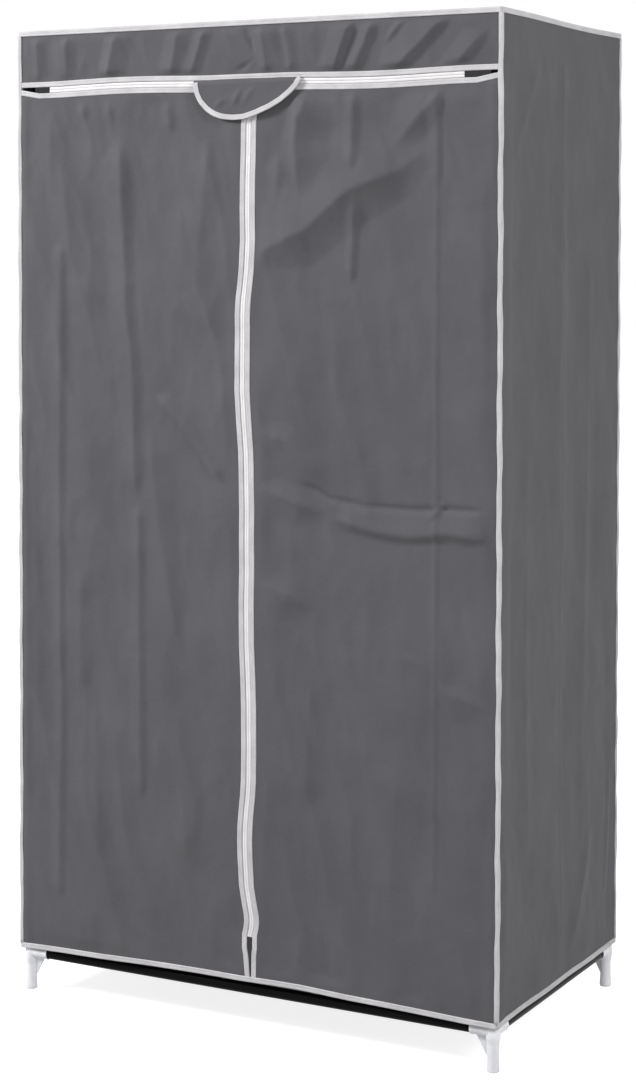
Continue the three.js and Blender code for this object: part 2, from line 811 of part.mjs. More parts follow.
// The binding along the header's lower edge, with the strips that close the slots at its ends.
function addHeaderBinding() {
  const bars = [];
  for (const side of [LEFT, RIGHT]) {
    const { end, strip, lowerEdge } = headerBindingEnd(side);
    const hook = [...strip, [end, zipZ + bindingInner + overrun], ...lowerEdge];
    bars.push(sidePlate(side, besideDoor(side, hook, foldClear), bindingBack, bindingThickness));
  }
  const ends = [LEFT, RIGHT].map((side) => frontX(side, headerBindingEnd(side).end));
  const long = [
    [ends[0], zipZ + bindingInner],
    [ends[1], zipZ + bindingInner],
    [ends[1], zipZ + bindingOuter],
    [ends[0], zipZ + bindingOuter],
  ];
  add("header_binding", joined([frontPlate(long, bindingBack, bindingThickness), ...bars]), binding);
}

// The binding of a door, along the top zip and down the upright one.
function addDoorBinding(name, side) {
  const outline = [
    [bindingInner, zipZ - bindingInner],
    [topZipEnd(side), zipZ - bindingInner],
    [topZipEnd(side), zipZ - bindingOuter],
    [bindingOuter, zipZ - bindingOuter],
    [bindingOuter, doorBottom],
    [bindingInner, doorBottom],
  ];
  add(name, sidePlate(side, onDoor(side, outline, foldClear), bindingBack, bindingThickness), binding);
}

// Zips: tapes with their rows of teeth

// A bar of teeth between two corners of the front's own frame.
function teethBar(side, [uFrom, zFrom], [uTo, zTo]) {
  const xs = [frontX(side, uFrom), frontX(side, uTo)];
  const half = chainThickness / 2;
  const low = [Math.min(...xs), chainMiddle - half, Math.min(zFrom, zTo)];
  const high = [Math.max(...xs), chainMiddle + half, Math.max(zFrom, zTo)];
  return boxBetween(low, high);
}

// The header's half of the top zip: one tape with a row of teeth on each side of the meeting point.
function addHeaderTape() {
  const teethIn = chainHalf - tapeRoot;
  const left = frontX(LEFT, topZipEnd(LEFT));
  const right = frontX(RIGHT, topZipEnd(RIGHT));
  const outline = [
    [left, zipZ + teethIn],
    [frontX(LEFT, chainStart), zipZ + teethIn],
    [frontX(LEFT, chainStart), zipZ + zipGap],
    [frontX(RIGHT, chainStart), zipZ + zipGap],
    [frontX(RIGHT, chainStart), zipZ + teethIn],
    [right, zipZ + teethIn],
    [right, zipZ + tapeOuter],
    [left, zipZ + tapeOuter],
  ];
  const tape = frontPlate(outline, tapeFront + tapeThickness, tapeThickness);
  const rows = [LEFT, RIGHT].map((side) => {
    return teethBar(side, [chainStart, zipZ + chainGroove], [topZipEnd(side) - teethEnd, zipZ + chainHalf]);
  });
  add("header_zip_tape", joined([tape, ...rows]), zipTape);
}

// A door's tape, which turns the corner between its half of the top zip and of the upright one.
function addDoorTape(name, side) {
  const teethIn = chainHalf - tapeRoot;
  const end = topZipEnd(side);
  const outline = [
    [end, zipZ - teethIn],
    [chainStart, zipZ - teethIn],
    [chainStart, zipZ - zipGap],
    [zipGap, zipZ - zipGap],
    [zipGap, zipZ - chainStart],
    [teethIn, zipZ - chainStart],
    [teethIn, doorBottom],
    [tapeOuter, doorBottom],
    [tapeOuter, zipZ - tapeOuter],
    [end, zipZ - tapeOuter],
  ];
  const tape = sidePlate(side, onDoor(side, outline, fit), tapeFront + tapeThickness, tapeThickness);
  const topRow = teethBar(side, [chainStart, zipZ - chainHalf], [end - teethEnd, zipZ - chainGroove]);
  const sideRow = teethBar(side, [chainGroove, doorBottom], [chainHalf, zipZ - chainStart]);
  add(name, joined([tape, topRow, sideRow]), zipTape);
}

// Zips: slider and pull tab, made at the origin with the travel along Z and the tab hanging down

const plateInner = chainThickness / 2 + sliderGap;
const plateOuter = plateInner + sliderPlate;
const archInner = fit + tabThickness + fit;
const archOuter = plateOuter + archInner + archBar;
const pinDepth = plateOuter + fit + tabThickness / 2;
const sliderCorner = 1.5;
const sliderTaper = 3; // length of the narrowing at the slider's tail
const sliderSeat = sliderPlate / 2; // how far the slider's other parts run into its plates

// A slider's plate with its two flanges, on the front or the back of the teeth.
function sliderShell(face) {
  const half = sliderLength / 2;
  const nose = sliderHalf * sliderNoseShare;
  const outline = [
    [-sliderHalf + sliderCorner, half],
    [-sliderHalf, half - sliderCorner],
    [-sliderHalf, -half + sliderTaper],
    [-nose, -half],
    [nose, -half],
    [sliderHalf, -half + sliderTaper],
    [sliderHalf, half - sliderCorner],
    [sliderHalf - sliderCorner, half],
  ];
  const back = face === FRONT ? -plateInner : plateOuter;
  const flangeFrom = tapeThickness / 2 + fit;
  const flanges = [LEFT, RIGHT].map((side) => {
    const xs = [side * sliderHalf, side * (sliderHalf - flangeWidth)].sort((a, b) => a - b);
    const ys = [face * flangeFrom, face * (plateInner + sliderSeat)].sort((a, b) => a - b);
    const low = [xs[0], ys[0], -half + sliderTaper];
    return boxBetween(low, [xs[1], ys[1], half - sliderCorner]);
  });
  return [frontPlate(outline, back, sliderPlate), ...flanges];
}

function sliderGeometry() {
  const half = sliderLength / 2;
  const bridgeLow = [-bridgeHalf, -plateInner - sliderSeat, half - sliderLength * bridgeShare];
  const bridge = boxBetween(bridgeLow, [bridgeHalf, plateInner + sliderSeat, half]);
  const arch = [LEFT, RIGHT].map((end) => {
    const zs = [end * archHalf, end * (archHalf - archBar)].sort((a, b) => a - b);
    return boxBetween([-archWidth / 2, -archOuter, zs[0]], [archWidth / 2, -plateOuter + sliderSeat, zs[1]]);
  });
  const crestLow = [-archWidth / 2, -archOuter, -archHalf];
  const crest = boxBetween(crestLow, [archWidth / 2, archBar - archOuter, archHalf]);
  return joined([...sliderShell(FRONT), ...sliderShell(BACK), bridge, ...arch, crest]);
}

// The pull tab: a tongue whose loop goes round the slider's arch, with the pin at z = 0.
function tabGeometry() {
  const pin = tabThickness / 2;
  const loopInner = archWidth / 2 + fit;
  const loopOuter = loopInner + tabArm;
  const half = tabWidth / 2;
  const outline = [
    [-loopOuter, pin],
    [-loopOuter, -tabEye],
    [-half, -tabEye - tabCorner],
    [-half, tabCorner - tabLength],
    [tabCorner - half, -tabLength],
    [half - tabCorner, -tabLength],
    [half, tabCorner - tabLength],
    [half, -tabEye - tabCorner],
    [loopOuter, -tabEye],
    [loopOuter, pin],
  ];
  const tongue = frontPlate(outline, pin - pinDepth, tabThickness);
  const eyeLow = [-loopInner, -pinDepth - tabThickness, -tabEye];
  const eye = boxBetween(eyeLow, [loopInner, -pinDepth + tabThickness, -pin]);
  return joined([tongue], [eye]);
}

// A slider and its tab at a place on a zip, turned about Y so that the tab points the right way.
function addSlider(name, x, z, turn) {
  for (const [piece, geometry] of [["slider", sliderGeometry()], ["pull_tab", tabGeometry()]]) {
    const mesh = add(name + "_" + piece, geometry, zipMetal);
    mesh.position.set(x, chainMiddle, z);
    mesh.rotation.y = turn;
  }
}

// Half-moon flap over the zips' meeting point

// The curved edge, [along the flap, down] as shares of its width and drop.
const moonCurveShares = [
  [0, 0],
  [0.02, 0.33],
  [0.06, 0.55],
  [0.13, 0.76],
  [0.2, 0.885],
  [0.28, 0.965],
  [0.38, 1],
  [0.48, 0.985],
  [0.6, 0.888],
  [0.72, 0.752],
  [0.83, 0.575],
  [0.92, 0.365],
  [0.98, 0.19],
  [1, 0],
];
const moonSteps = 24;
const moonTop = zipZ + bindingInner;
const moonBack = chainMiddle - archOuter - fit;
const moonFront = moonBack - clothThickness;

// Points along the flap's curved edge, drawn in from it by a distance.
function moonEdge(drawnIn) {
  const left = zipX - moonWidth * moonLeftShare;
  const places = moonCurveShares.map(([across, down]) => {
    return new THREE.Vector2(left + moonWidth * across, moonTop - moonDrop * down);
  });
  const curve = new THREE.SplineCurve(places);
  const edge = [];
  for (let i = 0; i <= moonSteps; i++) {
    const share = i / moonSteps;
    const point = curve.getPointAt(share);
    const tangent = curve.getTangentAt(share);
    edge.push([point.x - tangent.y * drawnIn, point.y + tangent.x * drawnIn]);
  }
  return edge;
}

// The strip that carries the flap back to the header's binding, in front of the sliders.
function moonSeamGeometry() {
  const sewn = bindingBack - bindingThickness - fit;
  const foot = moonTop - moonLap;
  const section = [
    [sewn, moonTop + moonSeam],
    [sewn - clothThickness, moonTop + moonSeam],
    [moonFront, moonTop],
    [moonFront, foot],
    [moonBack, foot],
  ];
  const shape = new THREE.Shape(section.map(([y, z]) => new THREE.Vector2(y, z)));
  const strip = new THREE.ExtrudeGeometry(shape, { depth: moonWidth, bevelEnabled: false });
  const acrossX = new THREE.Matrix4().makeBasis(
    new THREE.Vector3(0, 1, 0),
    new THREE.Vector3(0, 0, 1),
    new THREE.Vector3(1, 0, 0),
  );
  strip.applyMatrix4(acrossX);
  strip.translate(zipX - moonWidth * moonLeftShare, 0, 0);
  return strip;
}

function addHalfMoon() {
  const flap = frontPlate(moonEdge(0), moonBack, clothThickness);
  add("half_moon_flap", joined([flap, moonSeamGeometry()]), cloth);
  const band = [...moonEdge(0), ...moonEdge(bindingWidth).reverse()];
  const underTop = clipped(band, ([, z]) => moonTop - z);
  add("half_moon_binding", frontPlate(underTop, moonFront - fit, bindingThickness), binding);
}

function addCover() {
  addTopPanel();
  addBackPanel();
  addHeader();
  addHeaderBinding();
  addHeaderTape();
  for (const [name, side] of [["left", LEFT], ["right", RIGHT]]) {
    addSidePanel(name + "_side_panel", side);
    addLowerFront(name + "_lower_front", side);
    addDoor(name + "_door", side);
    addDoorBinding(name + "_door_binding", side);
    addDoorTape(name + "_door_zip_tape", side);
    addPiping("piping_front_" + name, side, FRONT);
    addPiping("piping_back_" + name, side, BACK);
    addSlider(name, frontX(side, sideSliderPlace), zipZ, (side * Math.PI) / 2);
  }
  addSlider("centre", zipX, zipZ - centreSliderDrop, 0);
  addRim();
  addHem();
  addHalfMoon();
  addBaseCloth();
}

addFrame();
addCover();

export default wardrobe;
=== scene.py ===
# %% [markdown]
# # A portable wardrobe under a zipped cloth cover
# Thin black tubes plug into milky plastic connectors, and a grey non-woven cover hangs over them.
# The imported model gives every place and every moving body. This lesson dresses it: each cloth panel
# becomes a real sheet with its creases, each binding a folded and stitched tape.
# %% Load the frame
import math

import bmesh
import bpy
import numpy as np
from mathutils import Matrix, Vector, noise


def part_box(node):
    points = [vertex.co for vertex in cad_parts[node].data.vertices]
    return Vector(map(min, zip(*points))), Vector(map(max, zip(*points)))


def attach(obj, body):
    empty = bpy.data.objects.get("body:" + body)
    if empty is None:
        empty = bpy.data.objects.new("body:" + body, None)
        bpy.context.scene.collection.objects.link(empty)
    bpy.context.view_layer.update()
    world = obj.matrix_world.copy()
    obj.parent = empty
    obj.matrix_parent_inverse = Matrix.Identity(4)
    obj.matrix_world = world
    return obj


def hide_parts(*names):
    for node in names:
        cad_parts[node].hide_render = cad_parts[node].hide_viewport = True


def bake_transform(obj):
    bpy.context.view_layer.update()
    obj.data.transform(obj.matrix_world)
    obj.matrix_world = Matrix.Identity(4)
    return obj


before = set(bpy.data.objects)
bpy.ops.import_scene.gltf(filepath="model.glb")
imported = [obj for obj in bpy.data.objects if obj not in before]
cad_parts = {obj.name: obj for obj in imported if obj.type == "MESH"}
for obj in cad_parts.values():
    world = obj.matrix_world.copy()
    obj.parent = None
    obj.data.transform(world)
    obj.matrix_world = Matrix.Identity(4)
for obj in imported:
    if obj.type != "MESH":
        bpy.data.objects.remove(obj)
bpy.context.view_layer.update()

# %% [markdown]
# ## Sizes
# The pieces are modelled in millimetres, because cloth, tape and stitches are small, and are brought
# to metres when they are finished. The frame's own boxes give the big sizes, so the pieces follow
# the solids. The rest are the cover's own measures, as a tailor would note them.
# %% Sizes in millimetres
MM = 0.001


def box_mm(node):
    low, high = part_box(node)
    return Vector(low) / MM, Vector(high) / MM


def middle_mm(node, axis):
    low, high = box_mm(node)
    return (low[axis] + high[axis]) / 2


cloth_x, cloth_y, cloth_top = box_mm("top_panel")[1]
rim_bottom, full_height = (end.z for end in box_mm("top_binding"))
wall_bottom = box_mm("back_panel")[0].z
hem_low = box_mm("hem_binding")[0].z
zip_x, zip_z = middle_mm("centre_slider", 0), middle_mm("left_slider", 2)
post_x, post_y = (middle_mm("lower_upright_back_right", axis) for axis in (0, 1))
low_rail, high_rail = middle_mm("bottom_rail_front", 2), middle_mm("hanging_rail", 2)
zip_gap = 4.7  # from a zip's middle to the cloth beside it
door_top = zip_z - zip_gap
door_bottom = box_mm("left_door_zip_tape")[0].z
slot_length = 50  # between the top zip's end and the cover's corner
slot_end = 1.6  # half a slot's width at its narrow end
slider_park = 15  # past the teeth, where a slider stands clear of them
hem_bow = 6  # how much higher the hem is in the middle than at its ends
hem_band = 7.5  # the height of the hem's binding
print("cloth half widths:", round(cloth_x, 2), round(cloth_y, 2), "top:", round(cloth_top, 2))
print("upright zip at x", round(zip_x, 2), "and top zip at z", round(zip_z, 2))
print("door from", round(door_bottom, 2), "to", round(door_top, 2))

# %% [markdown]
# ## Camera
# The photograph was taken from the right, at about 29 degrees, from a little above the middle.
# Its upright edges stay parallel, which is what a shift lens does, so the camera has a small shift
# instead of a tilt. The lens and the place come from fitting the cover's corners, hem and feet.
# %% Camera
camera_data = bpy.data.cameras.new("camera")
camera = bpy.data.objects.new("camera", camera_data)
bpy.context.collection.objects.link(camera)
camera.location = (1.56554, -3.03787, 1.07262)
camera.rotation_euler = (math.pi / 2 - 0.03398, -0.0008, 0.50558)
camera_data.sensor_width = 36
camera_data.lens = 78.915
camera_data.shift_x = 0.063
camera_data.shift_y = -0.194
camera_data.clip_start = 0.05
camera_data.clip_end = 60
bpy.context.scene.camera = camera
bpy.context.scene.view_settings.view_transform = "Standard"
print("camera at", [round(v, 2) for v in camera.location], "lens", camera_data.lens)

# %% [markdown]
# ## Floor, backdrop and light
# The real picture is a studio cut-out on white. The floor glows a little for camera rays only, so it
# reads as white and still takes the wardrobe's soft shadow. A lamp stands high on the left, because
# the half-moon's shadow falls to its lower right. A weaker one fills the right wall, and a third
# keeps the back readable from behind.
# %% Node helpers
def set_inputs(tree, node, values):
    """Gives a node's sockets numbers or colours, or links them to other sockets."""
    for key, value in values.items():
        if isinstance(value, bpy.types.NodeSocket):
            tree.links.new(value, node.inputs[key])
        else:
            node.inputs[key].default_value = value


def add_node(tree, kind, values=None, **settings):
    """Adds a node, sets its fields and then its sockets."""
    made = tree.nodes.new("ShaderNode" + kind)
    for key, value in settings.items():
        setattr(made, key, value)
    set_inputs(tree, made, values or {})
    return made


def blend_colours(tree, share, first, second):
    """Mixes two colours, each given as a colour or as a socket."""
    return add_node(tree, "Mix", {0: share, 6: first, 7: second}, data_type="RGBA").outputs[2]


def larger(tree, first, second):
    return add_node(tree, "Math", {0: first, 1: second}, operation="MAXIMUM").outputs[0]


def seen_rays(tree):
    """1 for rays from the camera, from gloss and through glass, else 0."""
    path = add_node(tree, "LightPath").outputs
    outside = larger(tree, path["Is Camera Ray"], path["Is Glossy Ray"])
    return larger(tree, outside, path["Is Transmission Ray"])


# %% World and floor
WHITE = (1, 1, 1, 1)
world = bpy.data.worlds.new("studio")
bpy.context.scene.world = world
world.use_nodes = True
sky = world.node_tree
sky.nodes.clear()
soft_light = add_node(sky, "Background", {"Color": WHITE, "Strength": 0.28})
white_wall = add_node(sky, "Background", {"Color": WHITE, "Strength": 1.0})
choose = add_node(sky, "MixShader", {0: seen_rays(sky), 1: soft_light.outputs[0], 2: white_wall.outputs[0]})
add_node(sky, "OutputWorld", {0: choose.outputs[0]})

floor_material = bpy.data.materials.new("studio_floor")
floor_material.use_nodes = True
tiles = floor_material.node_tree
tiles.nodes.clear()
matt = add_node(tiles, "BsdfDiffuse", {"Color": (0.5, 0.5, 0.5, 1)})
place = add_node(tiles, "TexCoord")
away = add_node(tiles, "VectorMath", {0: place.outputs["Object"]}, operation="LENGTH")
edge = add_node(tiles, "MapRange", {0: away.outputs["Value"], 1: 0.2, 2: 1.4, 3: 0.84, 4: 1.0})
lit = add_node(tiles, "Math", {0: edge.outputs[0], 1: seen_rays(tiles)}, operation="MULTIPLY")
glow = add_node(tiles, "Emission", {"Color": WHITE, "Strength": lit.outputs[0]})
both = add_node(tiles, "AddShader", {0: matt.outputs[0], 1: glow.outputs[0]})
add_node(tiles, "OutputMaterial", {0: both.outputs[0]})

floor_shape = bmesh.new()
bmesh.ops.create_circle(floor_shape, cap_ends=True, segments=64, radius=14)
floor_mesh = bpy.data.meshes.new("floor")
floor_shape.to_mesh(floor_mesh)
floor_shape.free()
floor = bpy.data.objects.new("floor", floor_mesh)
floor_mesh.materials.append(floor_material)
bpy.context.collection.objects.link(floor)


# %% Lamps
def add_lamp(name, place_m, aim_m, size, watts):
    data = bpy.data.lights.new(name, "AREA")
    data.shape = "RECTANGLE"
    data.size, data.size_y = size
    data.energy = watts
    lamp = bpy.data.objects.new(name, data)
    bpy.context.collection.objects.link(lamp)
    lamp.location = place_m
    lamp.rotation_euler = (Vector(aim_m) - Vector(place_m)).to_track_quat("-Z", "Y").to_euler()


add_lamp("key_lamp", (-3.0, -2.1, 2.9), (0, -0.2, 0.9), (1.0, 1.0), 218)
add_lamp("side_lamp", (3.2, -1.7, 2.4), (0.3, 0, 0.8), (1.3, 1.6), 104)
add_lamp("back_lamp", (-0.4, 2.7, 3.3), (0, 0.2, 0.8), (1.6, 1.6), 105)

# %% [markdown]
# ## Finishes
# Every finish is made of nodes. The cover is spun-bonded cloth: fine fibres pressed together in a
# grid of small points, matt with a little fuzz. Its pattern runs in the sheet's own flat
# coordinates, in metres, so it follows the cloth round each crease and through each fold.
# %% Finish helpers
PATTERN = "flat"  # the name of the UV map that holds a piece's flat coordinates in metres


def start_finish(name, roughness, specular=0.5):
    finish = bpy.data.materials.new(name)
    finish.use_nodes = True
    tree = finish.node_tree
    skin = tree.nodes["Principled BSDF"]
    set_inputs(tree, skin, {"Specular IOR Level": specular, "Roughness": roughness})
    return finish, tree, skin


def flat_place(tree, stretch=(1, 1, 1), turn=0):
    source = add_node(tree, "UVMap", uv_map=PATTERN).outputs[0]
    return add_node(tree, "Mapping", {0: source, "Scale": stretch, "Rotation": (0, 0, turn)}).outputs[0]


def solid_place(tree, stretch=(1, 1, 1)):
    source = add_node(tree, "TexCoord")
    return add_node(tree, "Mapping", {0: source.outputs["Object"], "Scale": stretch}).outputs[0]


def scaled(colour, factor):
    return tuple(channel * factor for channel in colour[:3]) + (1,)


def speckle(tree, place_socket, scale, detail=3, roughness=0.6):
    values = {"Vector": place_socket, "Scale": scale, "Detail": detail, "Roughness": roughness}
    return add_node(tree, "TexNoise", values).outputs[0]


def stepped(tree, source, low, high, to_low=0.0, to_high=1.0):
    return add_node(tree, "MapRange", {0: source, 1: low, 2: high, 3: to_low, 4: to_high}).outputs[0]


def relief(tree, height, depth_m, below=None):
    values = {"Height": height, "Distance": depth_m, "Strength": 1.0}
    if below is not None:
        values["Normal"] = below
    return add_node(tree, "Bump", values).outputs[0]


# %% Non-woven cloth
def cloth_finish(name, pale, dark):
    finish, tree, skin = start_finish(name, 0.82, 0.32)
    flat = flat_place(tree)
    turned = flat_place(tree, turn=math.pi / 4)
    fibres = speckle(tree, flat_place(tree, (1, 0.35, 1)), 1500, 5, 0.7)
    clouds = speckle(tree, flat, 9, 4, 0.55)
    grain = speckle(tree, flat, 260, 3, 0.65)
    points = add_node(tree, "TexVoronoi", {"Vector": turned, "Scale": 620, "Randomness": 0.0})
    pressed = stepped(tree, points.outputs["Distance"], 0.12, 0.34)
    tone = blend_colours(tree, stepped(tree, clouds, 0.3, 0.7), dark, pale)
    tone = blend_colours(tree, stepped(tree, grain, 0.32, 0.72, 0.0, 0.34), tone, scaled(pale, 1.5))
    tone = blend_colours(tree, stepped(tree, fibres, 0.35, 0.7, 0.0, 0.3), tone, scaled(dark, 0.55))
    crumpled = relief(tree, speckle(tree, flat, 32, 3, 0.5), 0.0012)
    bonded = relief(tree, pressed, 0.00007, crumpled)
    fuzzy = relief(tree, fibres, 0.00005, bonded)
    rough = stepped(tree, grain, 0.3, 0.7, 0.72, 0.9)
    set_inputs(tree, skin, {"Base Color": tone, "Normal": fuzzy, "Roughness": rough})
    set_inputs(tree, skin, {"Sheen Weight": 0.05, "Sheen Roughness": 0.55})
    return finish


cover_cloth = cloth_finish("grey_nonwoven_cloth", (0.078, 0.0755, 0.083, 1), (0.061, 0.059, 0.066, 1))
floor_cloth = cloth_finish("grey_base_cloth", (0.06, 0.058, 0.063, 1), (0.048, 0.046, 0.05, 1))


def painted_glow_through(outside, strength):
    """The same cloth from inside, with a painted glow: an emission that stands in for the daylight coming
    through it.
    """
    finish = outside.copy()
    finish.name = outside.name + "_inside"
    skin = finish.node_tree.nodes["Principled BSDF"]
    # Painted glow: emission on the inner faces stands in for daylight shining through the cloth
    set_inputs(finish.node_tree, skin, {"Emission Color": (0.97, 0.95, 1, 1), "Emission Strength": strength})
    return finish


# The inner faces of the cover and the base take a painted glow for the light that comes through them
cloth_inside_painted_glow = painted_glow_through(cover_cloth, 0.045)
floor_inside_painted_glow = painted_glow_through(floor_cloth, 0.05)

# %% [markdown]
# The bindings are folded white tape with fine ribs across it. The zips' own tape is smoother and
# brighter, with a satin gleam along it. The stitches are real little lengths of thread, and their
# finish only adds the twist.
# %% Tape, thread and lacquer
def tape_finish(name, pale, dark, ribs, rib_depth, roughness, sheen):
    finish, tree, skin = start_finish(name, roughness, 0.35)
    flat = flat_place(tree)
    wave = {"Vector": flat, "Scale": ribs, "Distortion": 0.6, "Detail": 1.0, "Detail Scale": 2.0}
    across = add_node(tree, "TexWave", wave, bands_direction="Y")
    soil = speckle(tree, flat, 28, 4, 0.6)
    weave = speckle(tree, flat, 900, 3, 0.6)
    tone = blend_colours(tree, stepped(tree, soil, 0.35, 0.65), dark, pale)
    tone = blend_colours(tree, stepped(tree, weave, 0.4, 0.7, 0.0, 0.16), tone, (0.4, 0.39, 0.4, 1))
    ribbed = relief(tree, across.outputs[0], rib_depth)
    puckered = relief(tree, speckle(tree, flat, 160, 2, 0.5), 0.0004, ribbed)
    rough = stepped(tree, weave, 0.3, 0.7, roughness - 0.08, roughness + 0.08)
    set_inputs(tree, skin, {"Base Color": tone, "Normal": puckered, "Roughness": rough})
    set_inputs(tree, skin, {"Sheen Weight": sheen})
    return finish


binding_tape = tape_finish(
    "white_binding_tape", (0.53, 0.52, 0.535, 1), (0.43, 0.42, 0.435, 1), 380, 0.00006, 0.75, 0.1
)
zip_cloth = tape_finish(
    "satin_zip_tape", (0.72, 0.7, 0.71, 1), (0.64, 0.625, 0.635, 1), 260, 0.00004, 0.5, 0.15
)


def thread_finish():
    finish, tree, skin = start_finish("white_thread", 0.6, 0.4)
    place_socket = solid_place(tree, (900, 900, 900))
    twist = add_node(tree, "TexWave", {"Vector": place_socket, "Scale": 1.0}, bands_direction="DIAGONAL")
    tone = blend_colours(tree, twist.outputs[0], (0.55, 0.54, 0.55, 1), (0.74, 0.73, 0.74, 1))
    set_inputs(tree, skin, {"Base Color": tone, "Normal": relief(tree, twist.outputs[0], 0.00005)})
    return finish


sewing_thread = thread_finish()


def lacquer_finish():
    finish, tree, skin = start_finish("white_lacquered_metal", 0.34, 0.5)
    place_socket = solid_place(tree)
    rubbed = stepped(tree, speckle(tree, place_socket, 700, 4, 0.6), 0.62, 0.7)
    tone = blend_colours(tree, rubbed, (0.58, 0.575, 0.57, 1), (0.42, 0.41, 0.4, 1))
    rough = stepped(tree, rubbed, 0, 1, 0.32, 0.5)
    pitted = relief(tree, speckle(tree, place_socket, 1400, 2), 0.00003)
    set_inputs(tree, skin, {"Base Color": tone, "Normal": pitted, "Roughness": rough})
    set_inputs(tree, skin, {"Coat Weight": 0.3, "Coat Roughness": 0.15})
    return finish


zip_lacquer = lacquer_finish()

# %% [markdown]
# The connectors are moulded in milky plastic, a little translucent, with flow marks and a finely
# etched skin. The tubes have a glossy black powder coat, which is never quite smooth.
# %% Plastic and steel
def plastic_finish():
    finish, tree, skin = start_finish("milky_moulded_plastic", 0.36, 0.5)
    place_socket = solid_place(tree)
    flow = speckle(tree, solid_place(tree, (1, 1, 0.4)), 45, 3, 0.5)
    etched = speckle(tree, place_socket, 1800, 3, 0.6)
    milky, clear = (0.68, 0.685, 0.72, 1), (0.8, 0.8, 0.83, 1)
    tone = blend_colours(tree, stepped(tree, flow, 0.35, 0.68), milky, clear)
    rough = stepped(tree, etched, 0.3, 0.7, 0.3, 0.44)
    set_inputs(tree, skin, {"Base Color": tone, "Normal": relief(tree, etched, 0.00004), "Roughness": rough})
    depth = {"Subsurface Weight": 0.35, "Subsurface Radius": (1.0, 0.9, 0.8), "Subsurface Scale": 0.003}
    set_inputs(tree, skin, depth)
    return finish


def steel_finish():
    finish, tree, skin = start_finish("black_powder_coat", 0.2, 0.5)
    place_socket = solid_place(tree)
    peel = speckle(tree, place_socket, 420, 2, 0.5)
    dust = speckle(tree, place_socket, 2600, 2, 0.5)
    black, dusty = (0.004, 0.004, 0.0045, 1), (0.009, 0.009, 0.01, 1)
    tone = blend_colours(tree, stepped(tree, dust, 0.6, 0.75), black, dusty)
    rough = stepped(tree, peel, 0.3, 0.7, 0.2, 0.32)
    set_inputs(tree, skin, {"Base Color": tone, "Normal": relief(tree, peel, 0.00003), "Roughness": rough})
    set_inputs(tree, skin, {"IOR": 1.1})  # low, so that the coat stays black over a white floor
    return finish


milky_plastic = plastic_finish()
black_steel = steel_finish()
print("finishes:", len(bpy.data.materials))

# %% [markdown]
# ## Modelling helpers
# Sheets and tapes both start as a plain grid, whose points are then moved to their place: a sheet
# is the grid itself with a wall given to it, and a tape is the grid rolled round its own section.
# The grid brings its map with it, which is stretched to the piece's flat size in metres.
# %% Finish a shape
def resize(shape, factor):
    bmesh.ops.scale(shape, vec=(factor, factor, factor), verts=shape.verts)


def finish_piece(name, shape, finishes):
    """Turns a bmesh in millimetres into an object in metres that shows the given finishes."""
    resize(shape, MM)
    mesh = bpy.data.meshes.new(name)
    shape.to_mesh(mesh)
    shape.free()
    for finish in finishes:
        mesh.materials.append(finish)
    mesh.polygons.foreach_set("use_smooth", [True] * len(mesh.polygons))
    piece = bpy.data.objects.new(name, mesh)
    bpy.context.collection.objects.link(piece)
    return piece


def dress(piece, body, slot, *nodes):
    """Says which body a piece rides on and which solids it stands for; the slot, which would name its finish,
    is not used.
    """
    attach(piece, body)
    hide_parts(*nodes)


def move_points(shape, moved):
    """Gives every vertex its new place from an array of points."""
    for vertex, point in zip(shape.verts, moved.tolist()):
        vertex.co = point


def points_of(shape):
    return np.array([vertex.co for vertex in shape.verts], float).reshape(-1, 3)


def flat_grid(columns, rows, flat_mm, place_at):
    """A grid whose shares across and up are sent through place_at, with its map in metres."""
    shape = bmesh.new()
    layer = shape.loops.layers.uv.new(PATTERN)
    bmesh.ops.create_grid(shape, x_segments=columns, y_segments=rows, size=0.5, calc_uvs=True)
    shares = points_of(shape) + 0.5
    move_points(shape, np.stack(place_at(shares[:, 0], shares[:, 1]), axis=1))
    wide, tall = flat_mm[0] * MM, flat_mm[1] * MM
    for face in shape.faces:
        for loop in face.loops:
            spot = loop[layer].uv
            loop[layer].uv = (spot.x * wide, spot.y * tall)
    return shape


def smoothstep(value, low, high):
    share = np.clip((value - low) / (high - low), 0, 1)
    return share * share * (3 - 2 * share)


def bump_at(value, middle, half_width):
    """1 at the middle, falling softly to 0 at the half width."""
    return (1 - np.clip(np.abs(value - middle) / half_width, 0, 1) ** 2) ** 2


# %% Turned shapes
turn_steps = 48


def turned(profile):
    """Spins a closed profile of (radius, height) pairs round the upright axis."""
    shape = bmesh.new()
    corners = [shape.verts.new((radius, 0, height)) for radius, height in profile]
    ring = [shape.edges.new((corners[i - 1], corners[i])) for i in range(len(corners))]
    round_z = {"cent": (0, 0, 0), "axis": (0, 0, 1), "angle": 2 * math.pi}
    bmesh.ops.spin(shape, geom=corners + ring, steps=turn_steps, use_merge=True, **round_z)
    bmesh.ops.remove_doubles(shape, verts=shape.verts, dist=0.001)
    bmesh.ops.recalc_face_normals(shape, faces=shape.faces)
    return shape


def pointed(shape, start, direction):
    """Turns a shape made along the upright axis to a direction, and moves it to its start."""
    turn = Vector((0, 0, 1)).rotation_difference(Vector(direction)).to_matrix().to_4x4()
    bmesh.ops.transform(shape, matrix=Matrix.Translation(start) @ turn, verts=shape.verts)
    return shape


def gather(shapes):
    """Puts several shapes into the first one."""
    whole = shapes[0]
    for extra in shapes[1:]:
        mesh = bpy.data.meshes.new("gathered")
        extra.to_mesh(mesh)
        extra.free()
        whole.from_mesh(mesh)
        bpy.data.meshes.remove(mesh)
    return whole


